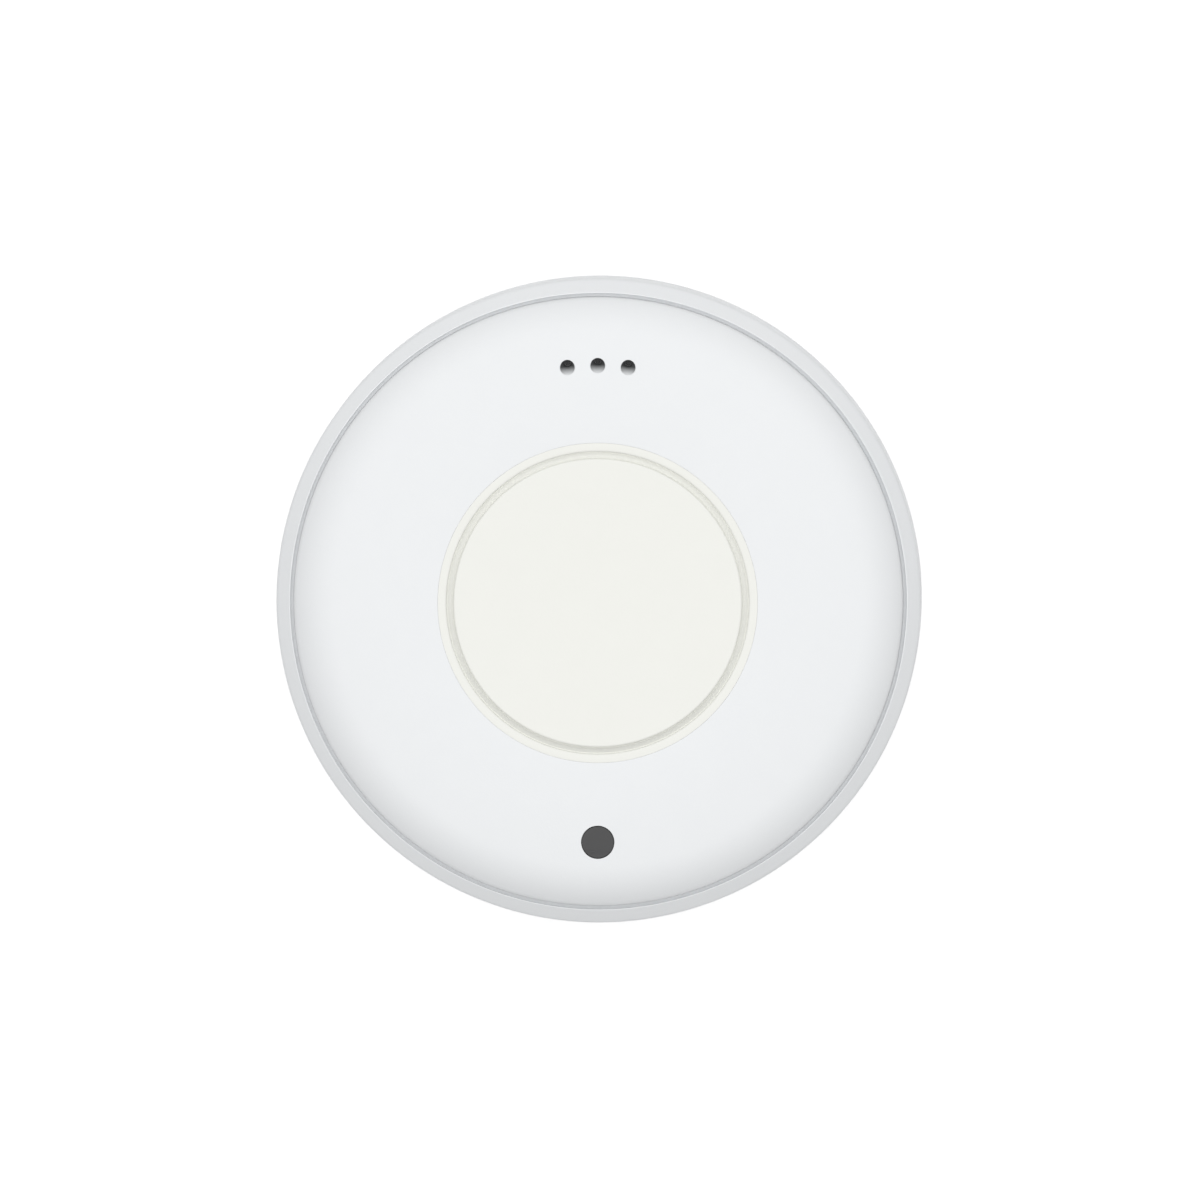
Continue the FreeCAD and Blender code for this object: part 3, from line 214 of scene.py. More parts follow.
def arc_points(centre, radius, start, end, steps):
    """Points on an arc from one angle to another, both ends included."""
    return [(centre[0] + radius * math.cos(start + (end - start) * step / steps),
             centre[1] + radius * math.sin(start + (end - start) * step / steps))
            for step in range(steps + 1)]


def softened(corners):
    """A closed outline of (radius, height, rounding) corners as plain points."""
    points = []
    for index, (x, z, rounding) in enumerate(corners):
        here = Vector((x, z))
        before = (Vector(corners[index - 1][:2]) - here).normalized()
        after = (Vector(corners[(index + 1) % len(corners)][:2]) - here).normalized()
        half = before.angle(after) / 2
        if rounding == 0 or half > NEARLY_STRAIGHT:
            points.append((x, z))
            continue
        centre = here + (before + after).normalized() * (rounding / math.sin(half))
        first = here + before * (rounding / math.tan(half)) - centre
        last = here + after * (rounding / math.tan(half)) - centre
        start = math.atan2(first.y, first.x)
        turn = math.atan2(first.x * last.y - first.y * last.x, first.dot(last))
        points += arc_points(centre, rounding, start, start + turn, CORNER_STEPS)
    return points


def deselect():
    """Leave nothing selected."""
    bpy.ops.object.select_all(action="DESELECT")


def pick(piece):
    """Make a piece the one that the next calls work on."""
    deselect()
    piece.select_set(True)
    bpy.context.view_layer.objects.active = piece


def start_corner(name, point):
    """A new mesh of one corner, left in edit mode."""
    deselect()
    bpy.ops.mesh.primitive_plane_add(size=MM)
    piece = bpy.context.object
    piece.name = name
    piece.data.name = name
    bpy.ops.object.mode_set(mode="EDIT")
    bpy.ops.mesh.merge(type="CENTER")
    bpy.ops.transform.translate(value=point)
    return piece


def draw_outline(name, points):
    """Extrude one corner along a closed outline, left selected in edit mode."""
    piece = start_corner(name, points[0])
    here = Vector(points[0])
    for point in points[1:] + points[:1]:
        step = Vector(point) - here
        bpy.ops.mesh.extrude_region_move(TRANSFORM_OT_translate={"value": step})
        here = Vector(point)
    bpy.ops.mesh.select_all(action="SELECT")
    bpy.ops.mesh.remove_doubles(threshold=OUTLINE_MERGE)
    return piece


def close_up():
    """Merge what meets, point the faces outwards and leave edit mode."""
    bpy.ops.mesh.select_all(action="SELECT")
    bpy.ops.mesh.remove_doubles(threshold=MESH_MERGE)
    bpy.ops.mesh.normals_make_consistent(inside=False)
    bpy.ops.object.mode_set(mode="OBJECT")


def turned(name, points, steps=TURN_STEPS):
    """Spin an outline of (radius, height) points round the middle axis."""
    piece = draw_outline(name, [(radius, 0, height) for radius, height in points])
    bpy.ops.mesh.spin(steps=steps, angle=math.tau, center=(0, 0, 0), axis=(0, 0, 1))
    close_up()
    return piece


def sector(name, points, middle, width, steps):
    """Spin an outline of (radius, height) points through part of a turn."""
    piece = draw_outline(name, [(radius, 0, height) for radius, height in points])
    bpy.ops.mesh.edge_face_add()
    bpy.ops.mesh.select_all(action="SELECT")
    bpy.ops.mesh.spin(steps=steps, angle=width, center=(0, 0, 0), axis=(0, 0, 1))
    close_up()
    turn_piece(piece, middle - width / 2)
    return piece


def prism(name, points, foot, top):
    """Extrude a flat outline of (x, y) points between two heights."""
    piece = draw_outline(name, [(x, y, foot) for x, y in points])
    bpy.ops.mesh.edge_face_add()
    bpy.ops.mesh.extrude_region_move(TRANSFORM_OT_translate={"value": (0, 0, top - foot)})
    close_up()
    return piece


def rod(name, radius, foot, top, steps):
    """A round rod on the middle axis, between two heights."""
    return turned(name, [(0, foot), (radius, foot), (radius, top), (0, top)], steps)


def bar(name, inner, outer, width, foot, top):
    """A bar along X from one distance to another, between two heights."""
    half = width / 2
    return prism(name, [(inner, -half), (outer, -half), (outer, half), (inner, half)], foot, top)


def turn_piece(piece, angle):
    """Turn a mesh round the middle axis, with its object left as it is."""
    piece.data.transform(Matrix.Rotation(angle, 4, "Z"))


def shift_piece(piece, offset):
    """Shift a mesh, with its object left as it is."""
    piece.data.transform(Matrix.Translation(offset))


def ring_of(piece, count):
    """The piece and its copies at equal angles round the middle axis, joined."""
    copies = [piece]
    for index in range(1, count):
        copy = piece.copy()
        copy.data = piece.data.copy()
        bpy.context.collection.objects.link(copy)
        turn_piece(copy, math.tau * index / count)
        copies.append(copy)
    return joined(copies)


def joined(pieces):
    """Several pieces as one, with the name of the first."""
    pick(pieces[0])
    for piece in pieces[1:]:
        piece.select_set(True)
    bpy.ops.object.join()
    return pieces[0]


def combine(piece, tool, operation):
    """Cut a tool from a piece or add it, and take the tool away."""
    pick(piece)
    change = piece.modifiers.new(operation.lower(), "BOOLEAN")
    change.operation = operation
    change.solver = "EXACT"
    change.object = tool
    bpy.ops.object.modifier_apply(modifier=change.name)
    bpy.data.objects.remove(tool)


def smooth(piece):
    """Smooth shading that leaves sharp corners sharp and flat faces flat."""
    pick(piece)
    bpy.ops.object.shade_smooth_by_angle(angle=SHARP_ANGLE)
    even = piece.modifiers.new("even_normals", "WEIGHTED_NORMAL")
    even.keep_sharp = True
    bpy.ops.object.modifier_apply(modifier=even.name)


def flared_cutter(name, radius, mouth, end, flare):
    """A round cutter whose mouth widens in a small rounding."""
    way = 1 if mouth > end else -1
    throat = []
    for step in range(CORNER_STEPS + 1):
        angle = MOUTH_SPREAD * step / CORNER_STEPS
        throat.append((radius + flare - flare * math.cos(angle),
                       mouth - way * flare + way * flare * math.sin(angle)))
    clear = mouth + way * CUTTER_REACH
    outline = [(0, end), (radius, end)] + throat + [(throat[-1][0], clear), (0, clear)]
    return turned(name, outline, HOLE_STEPS)


def scooped_cutter(name, radius, throat_radius, mouth, end):
    """A round mouth that narrows to a throat under its far side, as a lofted cutter."""
    deselect()
    bpy.ops.mesh.primitive_circle_add(vertices=HOLE_STEPS, radius=throat_radius, fill_type="NGON",
                                      location=(0, 0, 0))
    cutter = bpy.context.object
    cutter.name = name
    bpy.ops.object.mode_set(mode="EDIT")
    middle = Vector((0, radius - throat_radius, end))
    bpy.ops.transform.translate(value=middle)
    reach = throat_radius
    for ring in range(1, SCOOP_RINGS + 1):
        share = ring / SCOOP_RINGS
        next_reach = throat_radius + (radius - throat_radius) * share ** SCOOP_CURVE
        target = Vector((0, radius - next_reach, end + (mouth - end) * share))
        bpy.ops.mesh.extrude_region_move(TRANSFORM_OT_translate={"value": target - middle})
        bpy.ops.transform.resize(value=(next_reach / reach, next_reach / reach, 1),
                                 center_override=target)
        middle = target
        reach = next_reach
    bpy.ops.mesh.extrude_region_move(TRANSFORM_OT_translate={"value": (0, 0, CUTTER_REACH)})
    close_up()
    return cutter


def tilt_above(piece, height, angle, pivot):
    """Tilt what lies above a height about the X axis."""
    pick(piece)
    bpy.ops.object.mode_set(mode="EDIT")
    bpy.ops.mesh.select_all(action="DESELECT")
    bpy.ops.object.mode_set(mode="OBJECT")
    for vertex in piece.data.vertices:
        vertex.select = vertex.co.z > height
    bpy.ops.object.mode_set(mode="EDIT")
    bpy.ops.transform.rotate(value=angle, orient_axis="X", center_override=pivot)
    bpy.ops.object.mode_set(mode="OBJECT")


def place_round(piece, distance, angle):
    """Shift a mesh to a distance and direction from the middle axis."""
    shift_piece(piece, (distance * math.cos(angle), distance * math.sin(angle), 0))
    return piece


def finish_piece(piece, node, body, material):
    """Shade a piece, give it its finish and let it stand for its solid."""
    smooth(piece)
    piece.data.materials.clear()
    piece.data.materials.append(material)
    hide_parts(node)
    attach(piece, body)


# Pieces

def dome_height(radius):
    """Height of the cover outside the bezel, flat at first and then falling gently."""
    run = max(radius - DOME_START, 0) / (SHOULDER_START - DOME_START)
    return CROWN - DOME_FALL * run * run


def cover_outside():
    """Corners of the cover's outside, from its edge to the button opening."""
    slope = math.atan(2 * DOME_FALL / (SHOULDER_START - DOME_START))
    centre = (SHOULDER_START - SHOULDER_RADIUS * math.sin(slope),
              dome_height(SHOULDER_START) - SHOULDER_RADIUS * math.cos(slope))
    reach = SHOULDER_RADIUS - COVER_EDGE_RADIUS
    meeting = math.acos((COVER_RADIUS - centre[0] - COVER_EDGE_RADIUS) / reach)
    edge_centre = (centre[0] + reach * math.cos(meeting), centre[1] + reach * math.sin(meeting))
    edge = arc_points(edge_centre, COVER_EDGE_RADIUS, 0, meeting, COVER_EDGE_STEPS)
    shoulder = arc_points(centre, SHOULDER_RADIUS, meeting, math.pi / 2 - slope,
                          SHOULDER_STEPS)
    corners = [(*point, 0) for point in edge + shoulder[1:]]
    for ring in range(1, DOME_RINGS + 1):
        radius = SHOULDER_START + (DOME_START - SHOULDER_START) * ring / DOME_RINGS
        corners.append((radius, dome_height(radius), 0))
    corners.append((OPENING_RADIUS, CROWN, SEAM_EDGE))
    return corners


def make_front_cover(material):
    """Domed cover with its bosses, sound holes and window seat."""
    groove_floor = RIM_TOP - GROOVE_DEPTH
    outline = [
        (OPENING_RADIUS, CEILING, 0),
        (CEILING_RADIUS, CEILING, 4 * SMALL_EDGE),
        (SKIRT_INNER, CEILING - HAUNCH_DROP, 4 * SMALL_EDGE),
        (SKIRT_INNER, SKIRT_FOOT, SMALL_EDGE),
        (SKIRT_OUTER, SKIRT_FOOT, SMALL_EDGE),
        (SKIRT_OUTER, groove_floor, 0),
        (COVER_RADIUS, groove_floor, 0),
    ] + cover_outside()
    cover = turned("front_cover_shell", softened(outline))
    boss = turned("boss", softened([
        (0, board_high.z, 0),
        (BOSS_RADIUS, board_high.z, SMALL_EDGE),
        (BOSS_RADIUS, CEILING + 2 * SMALL_EDGE, 0),
        (0, CEILING + 2 * SMALL_EDGE, 0),
    ]), POST_STEPS)
    bosses = ring_of(place_round(boss, SCREW_CIRCLE, SCREW_PHASE), SCREW_COUNT)
    window_boss = rod("window_boss", WINDOW_BOSS_RADIUS, CEILING - WINDOW_BOSS_DROP,
                      CEILING + 2 * SMALL_EDGE, HOLE_STEPS)
    shift_piece(window_boss, (0, WINDOW_Y, 0))
    combine(cover, joined([bosses, window_boss]), "UNION")

    cutters = []
    for index in (-1, 0, 1):
        hole = scooped_cutter("sound_hole", SOUND_RADIUS, SOUND_THROAT_RADIUS,
                              dome_height(SOUND_CIRCLE), CEILING - SMALL_EDGE)
        cutters.append(place_round(hole, SOUND_CIRCLE, math.pi / 2 + index * SOUND_ANGLE))
    window_seat = flared_cutter("window_seat", WINDOW_RADIUS, dome_height(-WINDOW_Y),
                                CEILING - WINDOW_BOSS_DROP - SMALL_EDGE, SMALL_EDGE / 2)
    shift_piece(window_seat, (0, WINDOW_Y, 0))
    pilot = rod("pilot", PILOT_RADIUS, board_high.z - SMALL_EDGE,
                screws_high.z + 3 * SMALL_EDGE, PILOT_STEPS)
    pilots = ring_of(place_round(pilot, SCREW_CIRCLE, SCREW_PHASE), SCREW_COUNT)
    combine(cover, joined(cutters + [window_seat, pilots]), "DIFFERENCE")
    finish_piece(cover, "front_cover", "housing", material)


def rear_shell_outline():
    """The tray from the door opening outwards, over the rim and back along the inside."""
    groove_floor = RIM_TOP - GROOVE_DEPTH
    corner = RIM_TOP - (BODY_RADIUS - RIM_RADIUS) * math.tan(RIM_SLOPE)
    well_top = board_low.z - WELL_GAP
    return softened([
        (DOOR_OPENING, 0, 2 * SMALL_EDGE),
        (BODY_RADIUS, 0, FOOT_ROUNDING),
        (BODY_RADIUS, corner, RIM_ROUNDING),
        (RIM_RADIUS, RIM_TOP, RIM_EDGE),
        (RIM_RADIUS, groove_floor, 0),
        (LEDGE_OUTER, groove_floor, SMALL_EDGE),
        (LEDGE_OUTER, LEDGE_HEIGHT, 0),
        (LEDGE_INNER, LEDGE_HEIGHT, SMALL_EDGE),
        (LEDGE_INNER, SHELL_FLOOR, 3 * SMALL_EDGE),
        (TRACK_OUTER, SHELL_FLOOR, 3 * SMALL_EDGE),
        (TRACK_OUTER, TRACK_TOP + TRACK_ROOF, SMALL_EDGE),
        (WELL_RADIUS, TRACK_TOP + TRACK_ROOF, 3 * SMALL_EDGE),
        (WELL_RADIUS, well_top, SMALL_EDGE),
        (WELL_BORE, well_top, SMALL_EDGE),
        (WELL_BORE, TRACK_TOP, SMALL_EDGE),
        (TRACK_RADIUS, TRACK_TOP, SMALL_EDGE),
        (TRACK_RADIUS, SHELL_FLOOR, 0),
        (DOOR_OPENING, SHELL_FLOOR, 0),
    ])


def post_and_rib():
    """One screw post and one stiffening rib, a quarter turn apart from the next ones."""
    post = rod("post", POST_RADIUS, SHELL_FLOOR / 2, board_low.z, POST_STEPS)
    place_round(post, SCREW_CIRCLE, SCREW_PHASE)
    rib = bar("rib", TRACK_OUTER - OVERLAP, LEDGE_INNER + OVERLAP, RIB_THICKNESS,
              SHELL_FLOOR / 2, RIB_TOP)
    return joined([post, rib])


def make_rear_shell(material):
    """Tray with the rim seen in front, the door opening, its notches and the screw pockets."""
    shell = turned("rear_shell_tray", rear_shell_outline())
    additions = [ring_of(post_and_rib(), SCREW_COUNT)]
    stop = sector("stop", [
        (DOOR_OPENING, SHELL_FLOOR - SMALL_EDGE),
        (TRACK_OUTER - OVERLAP, SHELL_FLOOR - SMALL_EDGE),
        (TRACK_OUTER - OVERLAP, TRACK_TOP + SMALL_EDGE),
        (DOOR_OPENING, TRACK_TOP + SMALL_EDGE),
    ], LUG_PHASE + LUG_ANGLE / 2 + STOP_GAP + STOP_ANGLE / 2, STOP_ANGLE, STOP_STEPS)
    additions.append(ring_of(stop, LUG_COUNT))
    combine(shell, joined(additions), "UNION")

    hole = rod("screw_hole", PLAIN_HOLE_RADIUS, HEAD_POCKET_DEPTH - SMALL_EDGE,
               board_low.z + SMALL_EDGE, POST_STEPS)
    pocket = flared_cutter("head_pocket", HEAD_POCKET_RADIUS, 0, HEAD_POCKET_DEPTH,
                           2 * SMALL_EDGE)
    cutters = [ring_of(place_round(tool, SCREW_CIRCLE, SCREW_PHASE), SCREW_COUNT)
               for tool in (hole, pocket)]
    notch = sector("notch", [
        (DOOR_OPENING - 2 * OVERLAP, -SMALL_EDGE),
        (TRACK_RADIUS, -SMALL_EDGE),
        (TRACK_RADIUS, SHELL_FLOOR + SMALL_EDGE),
        (DOOR_OPENING - 2 * OVERLAP, SHELL_FLOOR + SMALL_EDGE),
    ], LUG_PHASE - DOOR_TURN, NOTCH_ANGLE, NOTCH_STEPS)
    cutters.append(ring_of(notch, LUG_COUNT))
    for angle in (LUG_PHASE, LUG_PHASE - DOOR_TURN):
        mark = flared_cutter("position_mark", MARK_RADIUS, 0, MARK_DEPTH, SMALL_EDGE)
        cutters.append(place_round(mark, DOOR_OPENING + LUG_REACH + MARK_INSET, angle))
    combine(shell, joined(cutters), "DIFFERENCE")

    contact_slot = bar("contact_slot", -WELL_RADIUS - SMALL_EDGE, -WELL_BORE + SMALL_EDGE,
                       CONTACT_SLOT_WIDTH, TRACK_TOP + TRACK_ROOF, board_low.z)
    combine(shell, contact_slot, "DIFFERENCE")
    finish_piece(shell, "rear_shell", "housing", material)


def make_button_bezel(material):
    """Ivory ring round the button, with its flange under the cover."""
    bezel = turned("button_bezel_ring", softened([
        (COLLAR_BORE, BEZEL_FOOT, SMALL_EDGE),
        (FLANGE_RADIUS, BEZEL_FOOT, SMALL_EDGE),
        (FLANGE_RADIUS, CEILING, 0),
        (BEZEL_RADIUS, CEILING, 0),
        (BEZEL_RADIUS, CROWN, SEAM_EDGE),
        (LIP_RADIUS, CROWN, GROOVE_EDGE),
        (LIP_RADIUS, CROWN - LIP_THICKNESS, 0),
        (COLLAR_BORE, CROWN - LIP_THICKNESS, 0),
    ]))
    finish_piece(bezel, "button_bezel", "housing", material)


def make_button_cap(material):
    """Ivory button: face, hollow rounding into the shoulder that the bezel holds, and ribs."""
    shoulder = CROWN - LIP_THICKNESS
    ceiling = CROWN - BUTTON_ROOF
    bore = GUIDE_RADIUS - BUTTON_WALL
    cup = turned("button_cap_cup", softened([
        (0, plunger_high.z, 0),
        (STEM_RADIUS, plunger_high.z, SMALL_EDGE),
        (STEM_RADIUS, ceiling, 2 * SMALL_EDGE),
        (bore, ceiling, 3 * SMALL_EDGE),
        (bore, cap_low.z, SMALL_EDGE),
        (GUIDE_RADIUS, cap_low.z, SMALL_EDGE),
        (GUIDE_RADIUS, shoulder, SMALL_EDGE / 2),
        (BUTTON_RADIUS, shoulder, GROOVE_HOLLOW),
        (BUTTON_RADIUS, CROWN, GROOVE_EDGE),
        (0, CROWN, 0),
    ]))
    rib = bar("button_rib", STEM_RADIUS - OVERLAP, bore + OVERLAP, BUTTON_RIB,
              ceiling - BUTTON_RIB_DEPTH, ceiling + SMALL_EDGE)
    combine(cup, ring_of(rib, BUTTON_RIB_COUNT), "UNION")
    finish_piece(cup, "button_cap", "button", material)


def make_sensor_window(material):
    """Dark window: polished face, stem in its seat, flange and light pipe."""
    flange_radius = (window_high.x - window_low.x) / 2
    face_radius = WINDOW_RADIUS - WINDOW_GAP
    boss_foot = CEILING - WINDOW_BOSS_DROP
    flange_foot = boss_foot - WINDOW_FLANGE
    slope = 2 * DOME_FALL * (-WINDOW_Y - DOME_START) / (SHOULDER_START - DOME_START) ** 2
    face = dome_height(-WINDOW_Y) - WINDOW_SINK
    window = turned("sensor_window_lens", softened([
        (0, window_low.z, 0),
        (PIPE_RADIUS, window_low.z, SMALL_EDGE),
        (PIPE_RADIUS, flange_foot, SMALL_EDGE),
        (flange_radius, flange_foot, SMALL_EDGE / 2),
        (flange_radius, boss_foot, SMALL_EDGE / 2),
        (face_radius, boss_foot, 0),
        (face_radius, face, SMALL_EDGE / 2),
        (0, face, 0),
    ]), WINDOW_STEPS)
    tilt_above(window, face - SMALL_EDGE, -math.atan(slope), (0, 0, face))
    shift_piece(window, (0, WINDOW_Y, 0))
    finish_piece(window, "sensor_window", "housing", material)


def coin_slot_cutter():
    """Long slot with round ends and a floor that rounds up into its sides."""
    half = COIN_SLOT_WIDTH / 2
    reach = COIN_SLOT_LENGTH / 2 - half
    ends = arc_points((reach, 0), half, -math.pi / 2, math.pi / 2, SLOT_END_STEPS)
    ends += arc_points((-reach, 0), half, math.pi / 2, 3 * math.pi / 2, SLOT_END_STEPS)
    slot = prism("coin_slot", ends, DOOR_FACE - 5 * SMALL_EDGE, DOOR_FACE + COIN_SLOT_DEPTH)
    pick(slot)
    floor_edge = slot.modifiers.new("floor_edge", "BEVEL")
    floor_edge.width = 3 * SMALL_EDGE
    floor_edge.segments = SLOT_FLOOR_STEPS
    floor_edge.limit_method = "ANGLE"
    floor_edge.angle_limit = SLOT_EDGE_ANGLE
    bpy.ops.object.modifier_apply(modifier=floor_edge.name)
    return slot


def make_battery_door(material):
    """Turning door: flat plate with a coin slot, rim round the cell and three lugs."""
    door = turned("battery_door_plate", softened([
        (0, DOOR_FACE, 0),
        (DOOR_RADIUS, DOOR_FACE, 2 * SMALL_EDGE),
        (DOOR_RADIUS, LUG_TOP, SMALL_EDGE),
        (DOOR_BORE, LUG_TOP, SMALL_EDGE),
        (DOOR_BORE, DOOR_SEAT, 3 * SMALL_EDGE),
        (0, DOOR_SEAT, 0),
    ]))
    lug = sector("lug", softened([
        (DOOR_RADIUS - LUG_ROOT, LUG_FOOT, 0),
        (LUG_RADIUS, LUG_FOOT, SMALL_EDGE),
        (LUG_RADIUS, LUG_TOP, SMALL_EDGE),
        (DOOR_RADIUS - LUG_ROOT, LUG_TOP, 0),
    ]), LUG_PHASE, LUG_ANGLE, LUG_STEPS)
    combine(door, ring_of(lug, LUG_COUNT), "UNION")
    mark = flared_cutter("door_mark", MARK_RADIUS, DOOR_FACE, DOOR_FACE + MARK_DEPTH, SMALL_EDGE)
    place_round(mark, DOOR_RADIUS - MARK_INSET, LUG_PHASE)
    combine(door, joined([coin_slot_cutter(), mark]), "DIFFERENCE")
    finish_piece(door, "battery_door", "door", material)


def make_housing_screws(material):
    """Four cross-head screws, with rings in place of the turns of their threads."""
    head_foot = screws_low.z
    head_top = head_foot + HEAD_HEIGHT
    outline = [
        (0, head_foot, 0),
        (HEAD_RADIUS, head_foot, 3 * SMALL_EDGE),
        (HEAD_RADIUS, head_top, SMALL_EDGE),
        (SHANK_RADIUS, head_top, 0),
    ]
    thread_start = head_top + (board_low.z - head_top) / 2
    turns = int((screws_high.z - thread_start) / THREAD_PITCH)
    for index in range(turns):
        foot = thread_start + index * THREAD_PITCH
        outline.append((SHANK_RADIUS, foot, 0))
        outline.append((SHANK_RADIUS - THREAD_DEPTH, foot + THREAD_PITCH / 2, 0))
    outline += [(SHANK_RADIUS - THREAD_DEPTH, screws_high.z, 0), (0, screws_high.z, 0)]
    screw = turned("housing_screw_set", softened(outline), POST_STEPS)
    arm = DRIVE_SPAN / 2
    half = DRIVE_WIDTH / 2
    cross = prism("cross_recess", [
        (arm, -half), (arm, half), (half, half), (half, arm), (-half, arm), (-half, half),
        (-arm, half), (-arm, -half), (-half, -half), (-half, -arm), (half, -arm), (half, -half),
    ], head_foot - SMALL_EDGE, head_foot + DRIVE_DEPTH)
    combine(screw, cross, "DIFFERENCE")
    place_round(screw, SCREW_CIRCLE, SCREW_PHASE)
    screws = ring_of(screw, SCREW_COUNT)
    finish_piece(screws, "housing_screws", "housing", material)


# Effects that several finishes share

# Random patterns: spots in a metre, where no input gives them, then detail and roughness
GRAIN_SPOTS = (2.0, 0.6)
SWELL_SPOTS = (260.0, 1.0, 0.4)
MOTTLE_SPOTS = (620.0, 4.0, 0.6)
STREAK_SPOTS = (4.0, 0.7)
TARNISH_SPOTS = (330.0, 5.0, 0.65)
SCRATCH_SPOTS = (1.0, 0.5)
DUST_SPOTS = (2600.0, 5.0, 0.7)

# Where in its pattern an effect starts and is full
TARNISH_RANGE = (0.4, 0.75)
SCRATCH_RANGE = (0.68, 0.72)
DUST_RANGE = (0.5, 0.75)

# Grain, streaks and scratches in a metre, the pits in the grain, and how lines are drawn out
GRAIN_SCALE = 9000.0
PIT_SHARE = 0.55
PIT_SOFTNESS = 0.6
PIT_DEPTH = 0.6
STREAK_SCALE = 900.0
STREAK_STRETCH = (0.06, 1.0, 1.0)
SCRATCH_SCALE = 500.0
SCRATCH_STRETCH = (0.04, 1.0, 1.0)
SCRATCH_TURNS = (0.4, 1.5, 2.6)

# Painted shade in the sound holes: how deep it starts and is full, and where it fades and is
# strongest
PAINTED_HOLE_SHADE_START = 0.02 * MM
PAINTED_HOLE_SHADE_FULL = 0.12 * MM
PAINTED_HOLE_SHADE_FADED = SOUND_CIRCLE - 0.46 * MM
PAINTED_HOLE_SHADE_STRONG = SOUND_CIRCLE + 0.06 * MM
PAINTED_HOLE_SHADE_AMOUNT = 0.9


def new_group(name, inputs, outputs):
    """An empty shader group with named inputs (name, kind, value) and outputs (name, kind)."""
    group = bpy.data.node_groups.new(name, "ShaderNodeTree")
    for label, kind, value in inputs:
        socket = group.interface.new_socket(name=label, in_out="INPUT", socket_type=kind)
        if value is not None:
            socket.default_value = value
    for label, kind in outputs:
        group.interface.new_socket(name=label, in_out="OUTPUT", socket_type=kind)
    start = group.nodes.new("NodeGroupInput")
    end = group.nodes.new("NodeGroupOutput")
    return group, start, end


def feed(tree, socket, value):
    """Give an input a number or a colour, or link an output to it."""
    if isinstance(value, tuple):
        socket.default_value = (*value, 1.0)
    elif isinstance(value, (int, float)):
        socket.default_value = value
    else:
        tree.links.new(value, socket)


def add_math(tree, operation, first, second, clamp=False):
    """A Math node fed by sockets or numbers."""
    node = tree.nodes.new("ShaderNodeMath")
    node.operation = operation
    node.use_clamp = clamp
    for socket, value in zip(node.inputs, (first, second)):
        feed(tree, socket, value)
    return node.outputs[0]


def add_noise(tree, vector, scale, detail, roughness):
    """Soft random spots, with a number or a socket for the spots in a metre."""
    node = tree.nodes.new("ShaderNodeTexNoise")
    node.inputs["Detail"].default_value = detail
    node.inputs["Roughness"].default_value = roughness
    tree.links.new(vector, node.inputs["Vector"])
    feed(tree, node.inputs["Scale"], scale)
    return node.outputs["Fac"]


def add_range(tree, value, low, high, new_low=0.0, new_high=1.0):
    """A value carried over from one range to another, and held at its ends."""
    node = tree.nodes.new("ShaderNodeMapRange")
    tree.links.new(value, node.inputs["Value"])
    node.inputs["From Min"].default_value = low
    node.inputs["From Max"].default_value = high
    node.inputs["To Min"].default_value = new_low
    node.inputs["To Max"].default_value = new_high
    return node.outputs[0]


def add_mix(tree, factor, first, second):
    """A colour between two colours, by a factor socket."""
    node = tree.nodes.new("ShaderNodeMix")
    node.data_type = "RGBA"
    tree.links.new(factor, node.inputs["Factor"])
    feed(tree, node.inputs["A"], first)
    feed(tree, node.inputs["B"], second)
    return node.outputs["Result"]


def make_moulded_grain():
    """Spark-eroded mould texture: fine pits, soft swells from shrinkage, and a slow mottle."""
    group, start, end = new_group(
        "moulded_grain",
        [("Vector", "NodeSocketVector", None), ("Grain Scale", "NodeSocketFloat", GRAIN_SCALE),
         ("Swell", "NodeSocketFloat", 0.3)],
        [("Height", "NodeSocketFloat"), ("Mottle", "NodeSocketFloat")])
    vector = start.outputs["Vector"]
    fine = add_noise(group, vector, start.outputs["Grain Scale"], *GRAIN_SPOTS)
    pits = group.nodes.new("ShaderNodeTexVoronoi")
    pits.feature = "SMOOTH_F1"
    pits.inputs["Smoothness"].default_value = PIT_SOFTNESS
    group.links.new(vector, pits.inputs["Vector"])
    group.links.new(add_math(group, "MULTIPLY", start.outputs["Grain Scale"], PIT_SHARE),
                    pits.inputs["Scale"])
    swells = add_noise(group, vector, *SWELL_SPOTS)
    grain = add_math(group, "ADD", fine,
                     add_math(group, "MULTIPLY", pits.outputs["Distance"], PIT_DEPTH))
    height = add_math(group, "ADD", grain,
                      add_math(group, "MULTIPLY", swells, start.outputs["Swell"]))
    group.links.new(height, end.inputs["Height"])
    group.links.new(add_noise(group, vector, *MOTTLE_SPOTS), end.inputs["Mottle"])
    return group


def make_drawn_streaks():
    """Streaks left on sheet metal by rolling and drawing, along X."""
    group, start, end = new_group(
        "drawn_streaks",
        [("Vector", "NodeSocketVector", None), ("Streak Scale", "NodeSocketFloat", STREAK_SCALE)],
        [("Height", "NodeSocketFloat"), ("Tarnish", "NodeSocketFloat")])
    stretch = group.nodes.new("ShaderNodeMapping")
    stretch.inputs["Scale"].default_value = STREAK_STRETCH
    group.links.new(start.outputs["Vector"], stretch.inputs["Vector"])
    streaks = add_noise(group, stretch.outputs["Vector"], start.outputs["Streak Scale"],
                        *STREAK_SPOTS)
    group.links.new(streaks, end.inputs["Height"])
    tarnish = add_noise(group, start.outputs["Vector"], *TARNISH_SPOTS)
    group.links.new(add_range(group, tarnish, *TARNISH_RANGE), end.inputs["Tarnish"])
    return group


